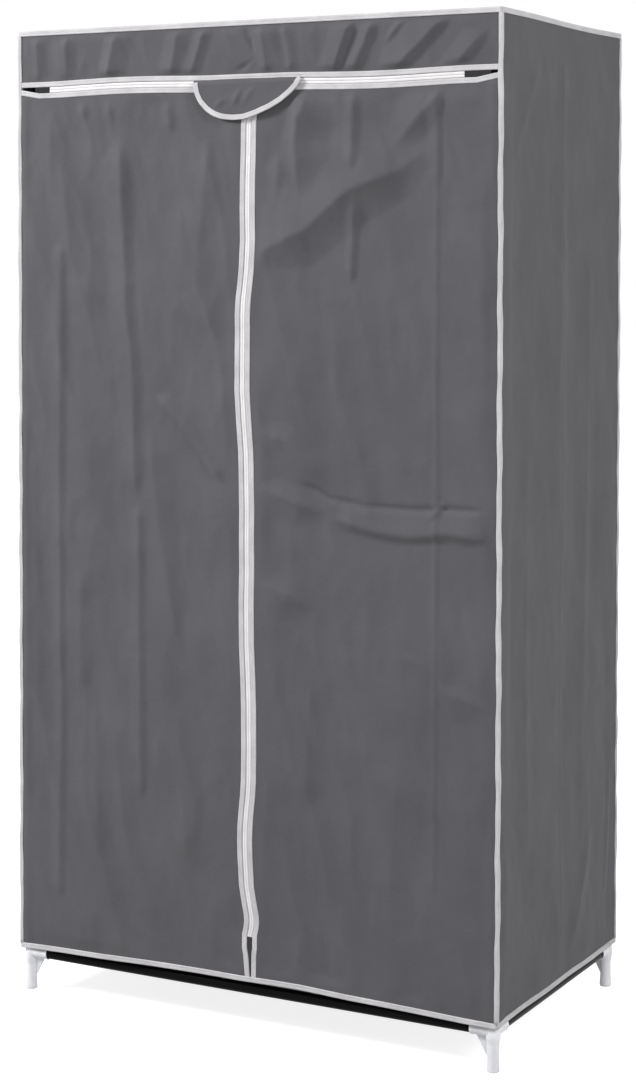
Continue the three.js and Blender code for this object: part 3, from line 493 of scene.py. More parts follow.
# %% [markdown]
# ## Steel tubes
# A tube is a closed section spun round its axis: its outer wall, a rolled lip at each end and its
# bore. An upper upright is drawn in at its lower end, with a short taper, so that it plugs into the
# tube below. Spinning gives a clean even wall, which no scaled cylinder would.
# %% Tubes
tube_radius = 8
tube_wall = 0.6
lip = 0.25  # the rolled edge of a tube's end
swage_length = 36  # how far an upper upright plugs into the lower one
swage_taper = 4
socket_stop = 11  # the floor of a socket's bore, from the crossing of the axes
fit_gap = 0.3


def tube_profile(length):
    bore = tube_radius - tube_wall
    return [
        (bore, 0.0),
        (tube_radius - lip, 0.0),
        (tube_radius, lip),
        (tube_radius, length - lip),
        (tube_radius - lip, length),
        (bore, length),
    ]


def swaged_profile(length):
    bore = tube_radius - tube_wall
    spigot = bore - fit_gap
    return [
        (spigot - tube_wall, -swage_length),
        (spigot - lip, -swage_length),
        (spigot, -swage_length + lip),
        (spigot, 0.0),
        (tube_radius, swage_taper),
        (tube_radius, length - lip),
        (tube_radius - lip, length),
        (bore, length),
        (bore, swage_taper),
        (spigot - tube_wall, 0.0),
    ]


def add_tube(node, axis, swaged=False):
    """Dresses one tube in place of its node, along one of the frame's axes."""
    low, high = box_mm(node)
    start = (low + high) / 2
    start[axis] = low[axis] + (swage_length if swaged else 0)
    length = high[axis] - start[axis]
    way = [0, 0, 0]
    way[axis] = 1
    shape = turned(swaged_profile(length) if swaged else tube_profile(length))
    piece = finish_piece(node + "_steel", pointed(shape, start, way), [black_steel])
    piece.modifiers.new("crisp_ends", "EDGE_SPLIT").split_angle = math.radians(40)
    dress(piece, "wardrobe", "steel", node)
    return piece


corners = ("front_left", "front_right", "back_left", "back_right")
tubes = [add_tube("lower_upright_" + corner, 2) for corner in corners]
tubes += [add_tube("upper_upright_" + corner, 2, swaged=True) for corner in corners]
tubes += [add_tube(rail + face, 0) for rail in ("bottom_rail_", "top_rail_") for face in ("front", "back")]
tubes += [add_tube("hanging_rail", 0)]
for face in ("left", "right"):
    tubes += [add_tube("bottom_rail_" + face, 1)]
    tubes += [add_tube("top_tube_front_" + face, 1), add_tube("top_tube_back_" + face, 1)]
print("tubes:", len(tubes))

# %% [markdown]
# ## Moulded connectors
# A foot is one moulding: a leg that widens to its sole, three sleeves with their bores, a web that
# braces the leg and small fillets where they meet. Each part is spun on its own. A fine voxel
# remesh then melts them into one skin, and smoothing rounds the joints as a mould does. The right
# and back ones are mirror images, so one foot, one corner and one tee are made, and the rest copied.
# %% Parts of a connector
sleeve_radius = 9.5
sleeve_reach = 31
bore_radius = tube_radius + fit_gap
sole_radius = 8.6
ankle_radius = 7.7
web_thick = 3.4
voxel_size = 0.55  # small against the fillets


def sleeve(direction):
    """A socket from the crossing of the axes, with its bore and a thicker ring at its mouth."""
    body, ring = sleeve_radius - 0.35, 3.6
    profile = [
        (0, 0),
        (body, 0),
        (body, sleeve_reach - ring - 0.8),
        (sleeve_radius, sleeve_reach - ring),
        (sleeve_radius, sleeve_reach - 0.5),
        (sleeve_radius - 0.5, sleeve_reach),
        (bore_radius, sleeve_reach),
        (bore_radius, socket_stop),
        (0, socket_stop),
    ]
    return pointed(turned(profile), (0, 0, 0), direction)


def leg_parts():
    """The leg of a foot, from its sole at -low_rail up to the crossing, and its web."""
    leg = turned(
        [
            (0, -low_rail),
            (sole_radius - 1.3, -low_rail),
            (sole_radius - 0.4, -low_rail + 0.5),
            (sole_radius, -low_rail + 1.6),
            (sole_radius - 0.15, -low_rail + 5),
            (ankle_radius, -low_rail + 17),
            (ankle_radius, -18.5),
            (sleeve_radius, -sleeve_radius),
            (sleeve_radius, 0),
            (0, 0),
        ]
    )
    web = bmesh.new()
    bmesh.ops.create_cube(web, size=1)
    outline = {
        (-0.5, -0.5): (0, 19 - low_rail),
        (0.5, -0.5): (ankle_radius + 0.4, 19 - low_rail),
        (-0.5, 0.5): (0, -sleeve_radius + 1),
        (0.5, 0.5): (23, -sleeve_radius + 1),
    }
    for vertex in web.verts:
        across, up = outline[(vertex.co.x, vertex.co.z)]
        vertex.co = (across, vertex.co.y * web_thick, up)
    return [leg, web]


def moulded(name, shapes, keep):
    """Melts overlapping parts into one moulding and thins its mesh."""
    raw = finish_piece(name + "_raw", gather(shapes), [])
    melt = raw.modifiers.new("melt", "REMESH")
    melt.mode = "VOXEL"
    melt.voxel_size = voxel_size * MM
    soften = raw.modifiers.new("soften", "SMOOTH")
    soften.factor = 0.5
    soften.iterations = 5
    thin = raw.modifiers.new("thin", "DECIMATE")
    thin.ratio = keep
    bpy.context.view_layer.update()
    ready = bpy.data.meshes.new_from_object(raw.evaluated_get(bpy.context.evaluated_depsgraph_get()))
    bpy.data.objects.remove(raw)
    return ready


def sleeves(*directions):
    return [sleeve(direction) for direction in directions]


foot_mesh = moulded("foot", leg_parts() + sleeves((0, 0, 1), (1, 0, 0), (0, 1, 0)), keep=0.16)
shoulder, brow = (sleeve_radius - 0.7, 8.9), (sleeve_radius - 2, 9.5)
crown = turned([(0, 0), (sleeve_radius, 0), (sleeve_radius, 7.4), shoulder, brow, (0, 9.5)])
corner_mesh = moulded("corner", [crown] + sleeves((0, 0, -1), (1, 0, 0), (0, 1, 0)), keep=0.1)
tee_mesh = moulded("tee", sleeves((1, 0, 0), (0, 1, 0), (0, -1, 0)), keep=0.1)
print("moulding faces:", len(foot_mesh.polygons), len(corner_mesh.polygons), len(tee_mesh.polygons))


# %% Place the connectors
def add_moulding(node, mesh, centre, flip_x, flip_y):
    """Copies a moulding made for the left front corner, mirrored where its corner asks for it."""
    shape = bmesh.new()
    shape.from_mesh(mesh)
    bmesh.ops.scale(shape, vec=(flip_x, flip_y, 1), verts=shape.verts)
    if flip_x * flip_y < 0:
        bmesh.ops.reverse_faces(shape, faces=shape.faces)
    resize(shape, 1 / MM)
    bmesh.ops.translate(shape, vec=centre, verts=shape.verts)
    dress(finish_piece(node + "_plastic", shape, [milky_plastic]), "wardrobe", "plastic", node)


def corner_sides(corner):
    return (-1 if "left" in corner else 1), (-1 if "front" in corner else 1)


for corner in corners:
    side_x, side_y = corner_sides(corner)
    low, high = ((side_x * post_x, side_y * post_y, rail) for rail in (low_rail, high_rail))
    add_moulding("foot_" + corner, foot_mesh, low, -side_x, -side_y)
    add_moulding("top_connector_" + corner, corner_mesh, high, -side_x, -side_y)
for face, side_x in (("left", -1), ("right", 1)):
    add_moulding("tee_" + face, tee_mesh, (side_x * post_x, 0, high_rail), -side_x, 1)
print("connectors placed at", round(post_x, 2), round(post_y, 2))

# %% [markdown]
# ## How slack the cover hangs
# The cover isn't drawn tight. The upright zip wanders a few millimetres, the front bellies out in
# the middle, the hem waves and the top zip tilts. One function moves any point of the taut cover to
# its slack place, and cloth, tape and stitches all go through it, so they stay joined.
# %% Slack
front_y = -cloth_y
zip_sway = [  # height, sideways
    (60, 1.6), (75, 1.8), (95, 1.0), (112, 0), (133, 0), (142, 2.4), (151, 3.6), (160, 3.2),
    (180, -0.6), (200, -3.8), (221, -4.8), (241, -5.8), (262, -6.2), (283, -5.4), (304, -3.4),
    (325, -1.0), (346, 0.5), (387, 1.2), (449, 1.2), (490, 0.2), (532, -1.6), (593, -2.0), (635, -1.1),
    (676, -1.4), (717, -1.1), (779, -2.2), (799, -2.9), (840, -6.2), (881, -8.9), (963, -8.6),
    (983, -9.0), (1004, -8.0), (1024, -5.6), (1045, -3.4), (1086, -1.5), (1126, -2.4), (1167, -2.4),
    (1208, -1.6), (1248, -1.6), (1287, 0), (1400, 0),
]
hem_sway = [  # across, upwards
    (-374, -1.0), (-300, -1.0), (-240, -1.4), (-156, -0.7), (-75, -0.8), (-11, -1.2), (40, 0.2),
    (82, 0.7), (120, -0.5), (158, -1.8), (232, -2.4), (326, -2.6), (374, -1.6),
]
belly = 7.0


def look_up(table, value):
    places, amounts = zip(*table)
    return np.interp(value, places, amounts)


def zip_belly(z):
    share = np.clip((z - door_bottom - 8) / (door_top - 12 - door_bottom), 0, 1)
    return belly * np.sin(math.pi * share) ** 0.7


def slacken(points):
    """Moves points of the taut cover to where the slack one hangs."""
    x, y, z = points.T
    # Shares from 0 to 1 say which part of the cover a point is on, by its distance in millimetres
    at_front = smoothstep(-y, cloth_y - 30, cloth_y - 4)
    near_zip = at_front * (1 - smoothstep(np.abs(x - zip_x), 13, 125))
    near_hem = 1 - smoothstep(z, 74, 150)
    near_top_zip = smoothstep(z, 1180, 1285) * (1 - smoothstep(z, 1325, 1374))
    tilt = 2.6 * (bump_at(x, -190, 140) - bump_at(x, 190, 140)) * near_top_zip * at_front
    ripple = 0.5 * np.sin(x / 31 + 1.3) + 0.5 * np.sin(y / 26 + 0.4)
    upwards = near_hem * (at_front * look_up(hem_sway, x) + (1 - at_front) * ripple) + tilt
    at_wall = smoothstep(np.abs(x), cloth_x - 12, cloth_x - 1) * smoothstep(z, 1350, 1380)
    upwards = upwards - 1.8 * at_wall * bump_at(y, 60, 190)
    outwards = near_zip * zip_belly(z) + near_hem * at_front * (0.9 + 0.8 * np.sin(x / 47))
    at_corner = smoothstep(np.abs(x), cloth_x - 20, cloth_x - 6)
    at_corner = at_corner * smoothstep(np.abs(y), cloth_y - 20, cloth_y - 6)
    quiver = 0.5 * np.sin(z / 23 + x) + 0.35 * np.sin(z / 9.5 + y)
    between = smoothstep(z, 80, 120) * (1 - smoothstep(z, 1340, 1370))
    sideways = near_zip * look_up(zip_sway, z) + at_corner * between * quiver * 0.8
    lengthways = -outwards + at_corner * between * quiver * 0.5
    return points + np.stack([sideways, lengthways, upwards], axis=1)


def hang(shape):
    """Sends a taut shape through the cover's slack."""
    move_points(shape, slacken(points_of(shape)))
    return shape


sample = np.array([[zip_x, front_y, 900.0], [zip_x, front_y, 300.0]])
print("the upright zip hangs off its line by", (slacken(sample) - sample).round(1).tolist())

# %% [markdown]
# ## Creases
# A cloth panel shows the light by its creases. Each crease is a line on the panel with a height and
# a width on either side: a wide and a narrow flank make a sharp fold, two wide ones a soft swell.
# A slow noise adds the small unevenness of cloth that was packed flat. Cloth simulation was the other
# way, but the real creases come from the pack, and a drape over a box wouldn't know them.
# %% Crease tools
shortest_fade = 24  # over which a crease dies away at its ends


def crease(x, z, line, height, left, right, sharp=False):
    """A raised line through points (x, z). Left and right are its flanks' widths, seen along its run."""
    nearest = np.full(x.shape, 1e9)
    amount = np.zeros(x.shape)
    legs = list(zip(line[:-1], line[1:]))
    whole = sum(math.dist(a, b) for a, b in legs)
    fade = min(max(shortest_fade, (left + right) * 0.8), whole / 2)
    gone = 0.0
    for (ax, az), (bx, bz) in legs:
        length = math.dist((ax, az), (bx, bz))
        dx, dz = (bx - ax) / length, (bz - az) / length
        along = np.clip((x - ax) * dx + (z - az) * dz, 0, length)
        off_x, off_z = x - ax - along * dx, z - az - along * dz
        away = np.hypot(off_x, off_z)
        side = dx * off_z - dz * off_x
        run = gone + along
        ends = smoothstep(run, 0, fade) * smoothstep(whole - run, 0, fade)
        width = np.where(side > 0, left, right) * (0.4 + 0.6 * ends)
        shape = np.clip(1 - away / width, 0, 1) ** (1.1 if sharp else 1.35)  # a soft one flares at its foot
        amount = np.where(away < nearest, shape * ends, amount)
        nearest = np.minimum(nearest, away)
        gone += length
    return height * amount


def unevenness(across, up, seed, wide, tall, height):
    """Slow noise over a panel, wider than tall or taller than wide."""
    spots = zip((across / wide).tolist(), (up / tall).tolist())
    return height * np.array([noise.noise((a, b, seed)) for a, b in spots])


def crumple(across, up, seed, wide, tall, height):
    """Noise folded at its zero, which leaves long low facets with a crisp line between them."""
    return height * (0.25 - np.abs(unevenness(across + up * 0.25, up, seed, wide, tall, 1.0)))


# Lines run upwards or to the right, as (points, height, left flank, right flank, sharp)
header_creases = [
    ([(-342, 1390), (-340, 1290)], 2.6, 16, 12, False),
    ([(-292, 1394), (-292, 1292)], 4.4, 20, 32, False),
    ([(-203, 1400), (-228, 1286)], 7.6, 30, 21, False),
    ([(-104, 1398), (-123, 1286)], 7.0, 30, 24, False),
    ([(-58, 1396), (-96, 1290)], 5.4, 15, 18, False),
    ([(18, 1400), (36, 1284)], 7.0, 34, 18, False),
    ([(54, 1394), (73, 1292)], 4.0, 16, 10, False),
    ([(14, 1334), (-10, 1394)], -3.2, 7, 7, True),
    ([(-38, 1298), (13, 1333)], -3.1, 7, 6, True),
    ([(122, 1286), (166, 1394)], 7.0, 28, 8, True),
    ([(149, 1286), (199, 1392)], 5.9, 15, 11, True),
    ([(204, 1342), (252, 1394)], 2.9, 8, 6, True),
    ([(199, 1292), (310, 1388)], 7.4, 34, 12, True),
    ([(289, 1291), (356, 1360)], 5.9, 24, 12, True),
]
front_creases = [
    # left half
    ([(-304, 139), (-304, 715), (-302, 1086)], 3.2, 18, 11, False),
    ([(-174, 722), (-180, 897), (-192, 1002), (-196, 1086), (-202, 1236)], 6.1, 34, 18, False),
    ([(-169, 299), (-170, 520), (-172, 720)], 3.5, 20, 12, False),
    ([(-272, 431), (-265, 632)], 3.2, 30, 22, False),
    ([(-23, 935), (-65, 1003), (-92, 1072), (-112, 1155)], 4.8, 34, 40, False),
    ([(-250, 959), (-287, 1072), (-300, 1214)], 4.5, 34, 40, False),
    ([(-317, 1143), (-320, 1280)], 3.2, 22, 30, False),
    ([(-121, 1226), (-127, 1285)], 3.8, 16, 12, False),
    ([(-216, 1240), (-226, 1287)], 3.2, 11, 11, False),
    ([(-259, 1246), (-269, 1288)], 3.5, 11, 12, False),
    ([(-73, 1058), (-57, 1223)], 3.5, 40, 24, False),
    ([(-142, 874), (-82, 818), (-27, 752)], 6.0, 16, 12, True),
    ([(-110, 530), (-138, 696), (-151, 835)], 4.2, 40, 30, False),
    ([(-239, 205), (-245, 433)], 3.2, 40, 40, False),
    ([(-91, 195), (-107, 446)], 3.8, 50, 34, False),
    # under the top zip, right of the middle
    ([(84, 1231), (76, 1280)], 3.5, 8, 7, True),
    ([(50, 1139), (53, 1212)], 5.1, 26, 18, False),
    ([(84, 1140), (79, 1222), (99, 1310)], 14.0, 26, 50, False),
    ([(163, 1174), (162, 1310)], 5.6, 17, 12, False),
    # the long diagonal, its spike and the facet above it
    ([(4, 1030), (32, 1072), (93, 1099), (160, 1152), (230, 1177), (284, 1215)], 15.0, 90, 46, False),
    ([(160, 1024), (163, 1080), (167, 1144)], 4.4, 12, 9, True),
    ([(216, 1204), (259, 1248), (300, 1288)], 9.0, 44, 26, False),
    # the pack creases and the swell beside the corner
    ([(281, 217), (284, 731), (284, 1173)], 1.9, 6, 4, True),
    ([(285, 1150), (286, 1310)], 3.8, 16, 6, True),
    ([(358, 300), (357, 749), (354, 1188)], 3.5, 56, 12, False),
    # the wide fold across, with its star where two creases meet
    ([(126, 715), (153, 709), (180, 703), (219, 697), (250, 696), (297, 702), (366, 698)], 6.8, 34, 12, True),
    ([(80, 762), (105, 751), (126, 740), (180, 732), (250, 731), (284, 734), (357, 735)], -3.2, 5, 8, True),
    ([(17, 754), (72, 735), (124, 717)], 7.4, 22, 34, False),
    ([(268, 716), (285, 731), (300, 748)], 3.2, 6, 6, True),
    ([(268, 748), (285, 731), (300, 714)], 3.2, 6, 6, True),
    ([(14, 827), (67, 815), (129, 748)], 5.1, 26, 34, False),
    # below the wide fold
    ([(285, 499), (325, 487), (362, 476)], 4.5, 18, 36, False),
    ([(17, 622), (72, 606), (113, 580)], 5.1, 34, 40, False),
    ([(222, 540), (269, 526), (276, 494)], 1.5, 14, 22, False),
    ([(90, 300), (104, 520)], 3.5, 40, 34, False),
    ([(215, 180), (232, 430)], 3.8, 50, 44, False),
]
print("creases:", len(header_creases), "on the header,", len(front_creases), "on the front")


def all_creases(table, x, z):
    return sum(crease(x, z, *row) for row in table)


# %% [markdown]
# ## Cloth panels
# Each panel is one fine sheet. A front half is a single piece from the zip to the corner, as on the
# real cover: its door is only the part that folds back.
# The sheet lies flat where a zip, a binding or a tube holds it.
# %% Sheets
cloth_thickness = 0.5
cell_size = 3.6  # of the grid of a front half
wall_cell = 4.4  # of the grid of a side wall


def two_faced_piece(name, shape, looks, finishes):
    """A sheet with one finish outside and one inside."""
    shape.normal_update()
    for face in shape.faces:
        face.material_index = int(face.normal.dot(Vector(looks)) < -0.5)
    return finish_piece(name, shape, finishes)


def sheet_piece(name, columns, rows, flat_mm, place_at, looks):
    """A panel of cloth, from its outer face inwards."""
    shape = hang(flat_grid(columns, rows, flat_mm, place_at))
    shape.normal_update()
    bmesh.ops.solidify(shape, geom=shape.faces[:], thickness=cloth_thickness)
    return two_faced_piece(name, shape, looks, [cover_cloth, cloth_inside_painted_glow])


def lerp(first, second, share):
    return first + (second - first) * share


def hem_rise(x):
    return hem_bow * (1 - np.minimum(np.abs(x) / cloth_x, 1) ** 2)


def edge_of(side):
    return cloth_x - side * zip_x


def top_zip_end(side):
    return edge_of(side) - slot_length


def slot_half(z):
    """Half the width of the slot below the upright zip, wide enough for the slider at its top."""
    top = door_bottom - slider_park
    return np.interp(z, [wall_bottom, top - 9, top], [slot_end, 3.2, zip_gap])


def slot_floor(side, u):
    start = top_zip_end(side) + slider_park
    return door_top + 2 * (zip_gap - slot_end) * np.clip((u - start) / (edge_of(side) - start), 0, 1)


def front_relief(x, z, border, table):
    """How far the front's cloth stands out, eased to its borders and kept clear of the posts."""
    # Each wave has its seed, its width and length, and its height
    slow = unevenness(x, z, 1.0, 95, 300, 4.2) + unevenness(x, z, 2.0, 34, 120, 1.1)
    slow = slow + crumple(x, z, 6.0, 60, 170, 5.0) + crumple(x, z, 7.0, 24, 60, 1.2)
    fine = unevenness(x, z, 3.0, 13, 22, 0.28)
    out = (all_creases(table, x, z) + slow) * smoothstep(border, 5.5, 27) + fine * smoothstep(border, 1, 8)
    out = out + 1.6 * bump_at(np.abs(x), post_x + 2, 15) * smoothstep(border, 2, 10)
    near_frame = np.maximum(smoothstep(np.abs(x), 335, 350), 1 - smoothstep(z, 68, 90))
    return np.where(out < 0, out * (1 - 0.8 * near_frame), out)


def front_half(name, side):
    def place_at(across, up):
        share = across if side > 0 else 1 - across
        low = wall_bottom + hem_rise(zip_x + side * lerp(zip_gap, edge_of(side), share))
        u = lerp(slot_half(lerp(low, door_top, up)), edge_of(side), share)
        x = zip_x + side * u
        z = lerp(low, slot_floor(side, u), up)
        border = np.minimum(np.minimum(u - zip_gap, edge_of(side) - u), np.minimum(door_top - z, z - low))
        return x, front_y - front_relief(x, z, border, front_creases), z

    wide, tall = edge_of(side) - zip_gap, door_top - wall_bottom
    columns, rows = int(wide / cell_size), int(tall / cell_size)
    return sheet_piece(name, columns, rows, (wide, tall), place_at, (0, -1, 0))


fronts = {"left": front_half("left_front_cloth", -1), "right": front_half("right_front_cloth", 1)}
print("faces of a front half:", len(fronts["left"].data.polygons))


# %% Header
wall_top = cloth_top - 0.8


def header_place(across, up):
    x = lerp(-cloth_x, cloth_x, across)
    z = lerp(zip_z + zip_gap, wall_top, up)
    border = np.minimum(np.minimum(z - zip_z - zip_gap, wall_top - z), cloth_x - np.abs(x))
    slow = unevenness(x, z, 4.0, 60, 70, 2.4) + crumple(x, z, 8.0, 30, 60, 2.6)
    out = (all_creases(header_creases, x, z) + slow) * smoothstep(border, 5.5, 17)
    limit = np.where(z > 1358, -1.2, -4.0)
    return x, front_y - np.maximum(out, limit), z


header_flat = (2 * cloth_x, wall_top - zip_z - zip_gap)
header = sheet_piece("header_cloth", 300, 32, header_flat, header_place, (0, -1, 0))
print("faces of the header:", len(header.data.polygons))


# %% Walls
def wall_relief(across, up, wide, seed, table):
    tall = wall_top - wall_bottom
    along, height = across * wide, lerp(wall_bottom, wall_top, up)
    border = np.minimum(np.minimum(along, wide - along), np.minimum(up, 1 - up) * tall)
    out = unevenness(along, height, seed, 120, 330, 5.5) + unevenness(along, height, seed + 1, 45, 130, 1.5)
    out = out + crumple(along, height, seed + 3, 80, 160, 3.0) + crumple(along, height, seed + 4, 30, 44, 0.8)
    out = out + unevenness(along, height, seed + 2, 15, 26, 0.35)
    out = out + all_creases(table, along, height)
    near_frame = np.maximum(1 - smoothstep(border, 24, 44), smoothstep(height, 1345, 1358))
    out = np.where(out < 0, out * (1 - 0.8 * near_frame), out)
    return 0.75 * out * smoothstep(border, 3, 24)


# Lines on a wall, across from its left edge as seen from outside
right_wall_creases = [
    ([(96, 250), (90, 820)], 2.8, 34, 26, False),
    ([(300, 420), (318, 1080)], 3.4, 44, 30, False),
    ([(198, 860), (214, 1330)], 3.1, 30, 34, False),
    ([(40, 1180), (130, 1330)], 2.8, 26, 20, False),
    ([(250, 90), (330, 260)], 3.4, 26, 30, False),
    ([(392, 140), (410, 330)], 2.8, 12, 10, False),
    ([(217, 100), (218, 1340)], 1.1, 5, 4, True),
    ([(20, 728), (420, 716)], 1.4, 5, 5, True),
]
left_wall_creases = [
    ([(120, 200), (128, 900)], 3.1, 36, 26, False),
    ([(300, 500), (290, 1200)], 3.4, 40, 34, False),
    ([(217, 100), (218, 1340)], 1.1, 4, 5, True),
    ([(20, 722), (420, 724)], 1.4, 5, 5, True),
]
back_creases = [
    ([(186, 90), (188, 1350)], 1.3, 5, 4, True),
    ([(374, 90), (374, 1350)], 1.3, 5, 4, True),
    ([(560, 90), (558, 1350)], 1.3, 4, 5, True),
    ([(20, 724), (726, 728)], 1.4, 5, 5, True),
    ([(90, 300), (110, 900)], 3.6, 50, 36, False),
    ([(470, 420), (452, 1150)], 3.9, 56, 44, False),
    ([(640, 200), (656, 800)], 3.4, 40, 40, False),
]


def side_wall(name, side, table, seed):
    wide, tall = 2 * cloth_y, wall_top - wall_bottom

    def place_at(across, up):
        y = lerp(front_y, cloth_y, across) * side
        z = lerp(wall_bottom, wall_top, up)
        return side * (cloth_x + wall_relief(across, up, wide, seed, table)), y, z

    columns, rows = int(wide / wall_cell), int(tall / wall_cell)
    return sheet_piece(name, columns, rows, (wide, tall), place_at, (side, 0, 0))


def back_place(across, up):
    x = lerp(cloth_x, -cloth_x, across)
    z = lerp(wall_bottom, wall_top, up)
    return x, cloth_y + wall_relief(across, up, 2 * cloth_x, 31.0, back_creases), z


right_wall = side_wall("right_wall_cloth", 1, right_wall_creases, 11.0)
left_wall = side_wall("left_wall_cloth", -1, left_wall_creases, 21.0)
wall_tall = wall_top - wall_bottom
back_wall = sheet_piece("back_wall_cloth", 150, 264, (2 * cloth_x, wall_tall), back_place, (0, 1, 0))
print("wall faces:", [len(w.data.polygons) for w in (right_wall, left_wall, back_wall)])


# %% Top and base
def top_place(across, up):
    """The top sags between the front, middle and back tubes that carry it."""
    x, y = lerp(-cloth_x, cloth_x, across), lerp(-cloth_y, cloth_y, up)
    border = np.minimum(cloth_x - np.abs(x), cloth_y - np.abs(y))
    inside = smoothstep(border, 22, 70) * smoothstep(np.abs(y), 10, 50)
    sag = 6.5 * inside * (1 + 0.4 * np.sin(x / 70) * np.sin(y / 40))
    lift = unevenness(x, y, 41.0, 90, 60, 1.6) * smoothstep(border, 20, 60)
    return x, y, cloth_top - sag + np.maximum(lift, 0) * 0.8


top_cloth = sheet_piece("top_cloth", 124, 74, (2 * cloth_x, 2 * cloth_y), top_place, (0, 0, 1))

base_low, base_high = box_mm("base_cloth")
base_thickness = 0.6
notch_x = post_x - sleeve_reach - 0.4
notch_y = post_y - sleeve_reach - 0.4


def base_place(across, up):
    x, y = lerp(base_low.x, base_high.x, across), lerp(base_low.y, base_high.y, up)
    border = np.minimum(post_x - np.abs(x), post_y - np.abs(y))
    sag = 7.0 * smoothstep(border, 12, 90)
    return x, y, base_high.z - sag + unevenness(x, y, 51.0, 70, 50, 1.2) * smoothstep(border, 12, 40)


base_flat = (base_high.x - base_low.x, base_high.y - base_low.y)
base_shape = flat_grid(146, 84, base_flat, base_place)
middles = [(face, face.calc_center_median()) for face in base_shape.faces]
notches = [face for face, middle in middles if abs(middle.x) > notch_x and abs(middle.y) > notch_y]
bmesh.ops.delete(base_shape, geom=notches, context="FACES")
bmesh.ops.solidify(base_shape, geom=base_shape.faces[:], thickness=base_thickness)
base_sheet = two_faced_piece("base_sheet", base_shape, (0, 0, -1), [floor_cloth, floor_inside_painted_glow])
print("top and base faces:", len(top_cloth.data.polygons), len(base_sheet.data.polygons))

# %% [markdown]
# ## Bindings
# Each raw edge of the cover is wrapped in folded tape and sewn through. A tape is a closed section
# carried along the edge: its front has a shallow valley where the seam pulls it down, and single
# stitches lie in that valley. Where an edge turns a corner, the section is mitred.
# %% Carry a section along an edge
STITCH_STEP = 3.3
STITCH_LONG = 2.5
STITCH_THICK = 0.42


def carried(section, path, closed=False):
    """A closed section of (across, outward) pairs carried along rows of (point, across, outward)."""
    rows = [tuple(np.array(part, float) for part in row) for row in path]
    if closed:
        rows.append(rows[0])
    outline = np.array(section, float)
    count = len(outline)
    spots = np.array([row[0] for row in rows])
    across = np.array([row[1] for row in rows])
    outward = np.array([row[2] for row in rows])
    round_it = np.linalg.norm(np.diff(np.vstack([outline, outline[:1]]), axis=0), axis=1).sum()
    along_it = np.linalg.norm(np.diff(spots, axis=0), axis=1).sum()

    def place_at(share_round, share_along):
        i = np.rint(share_round * count).astype(int) % count
        j = np.rint(share_along * (len(rows) - 1)).astype(int)
        place = spots[j] + across[j] * outline[i, :1] + outward[j] * outline[i, 1:]
        return place.T

    shape = flat_grid(count, len(rows) - 1, (round_it, along_it), place_at)
    bmesh.ops.remove_doubles(shape, verts=shape.verts, dist=0.0005)
    open_edges = [edge for edge in shape.edges if edge.is_boundary]
    if open_edges:
        bmesh.ops.holes_fill(shape, edges=open_edges, sides=0)
    bmesh.ops.recalc_face_normals(shape, faces=shape.faces)
    return shape


def grains(spots, bases):
    """One small rounded grain for each spot, stretched and turned by its basis."""
    shape = bmesh.new()
    bmesh.ops.create_icosphere(shape, subdivisions=1, radius=1)
    one = points_of(shape)
    per_grain = (len(shape.verts), len(shape.edges), len(shape.faces))
    made = 1
    while made < len(spots):
        more = min(made, len(spots) - made)
        every = (shape.verts, shape.edges, shape.faces)
        parts = [list(part)[: more * each] for part, each in zip(every, per_grain)]
        bmesh.ops.duplicate(shape, geom=parts[0] + parts[1] + parts[2])
        made += more
    placed = np.einsum("vk,ski->svi", one, bases) + spots[:, None, :]
    move_points(shape, placed.reshape(-1, 3))
    return shape


def add_stitches(shape, path, across_mm, out_mm, closed=False):
    """Lays short lengths of thread along a path, as the shape's second finish."""
    rows = list(path) + ([path[0]] if closed else [])
    places, across, outward = (np.array(column, float) for column in zip(*rows))
    line = places + across_mm * across + out_mm * outward
    legs = np.linalg.norm(np.diff(line, axis=0), axis=1)
    gone = np.concatenate([[0], np.cumsum(legs)])
    count = int(gone[-1] / STITCH_STEP)
    at = (np.arange(count) + 0.5) * gone[-1] / count
    leg = np.clip(np.searchsorted(gone, at) - 1, 0, len(legs) - 1)
    way = np.diff(line, axis=0)[leg] / np.maximum(legs[leg], 1e-6)[:, None]
    spots = line[leg] + way * (at - gone[leg])[:, None]
    flat = np.cross(way, outward[leg])
    thick, long = STITCH_THICK / 2, STITCH_LONG / 2
    bases = np.stack([flat * thick, np.cross(flat, way) * thick, way * long], axis=1)
    thread = grains(spots, bases)
    for face in thread.faces:
        face.material_index = 1
    return gather([shape, thread])


def sewn_tape(name, section, path, seams, closed=False):
    """A tape along a path, hung on the slack cover, with a seam at each (across, outward) pair."""
    shape = carried(section, path, closed)
    for across, out in seams:
        add_stitches(shape, path, across, out, closed)
    return finish_piece(name, hang(shape), [binding_tape, sewing_thread])


# %% Edges on the front
fine_step = 1.5  # fine_step = 1.5 # short rows
tape_reach = 7.2  # a little more than the tape's width


def mitre_reach(way, next_way):
    """How far back along its legs the mitre of a tape's corner reaches."""
    return tape_reach * math.tan(way.angle(next_way) / 2)


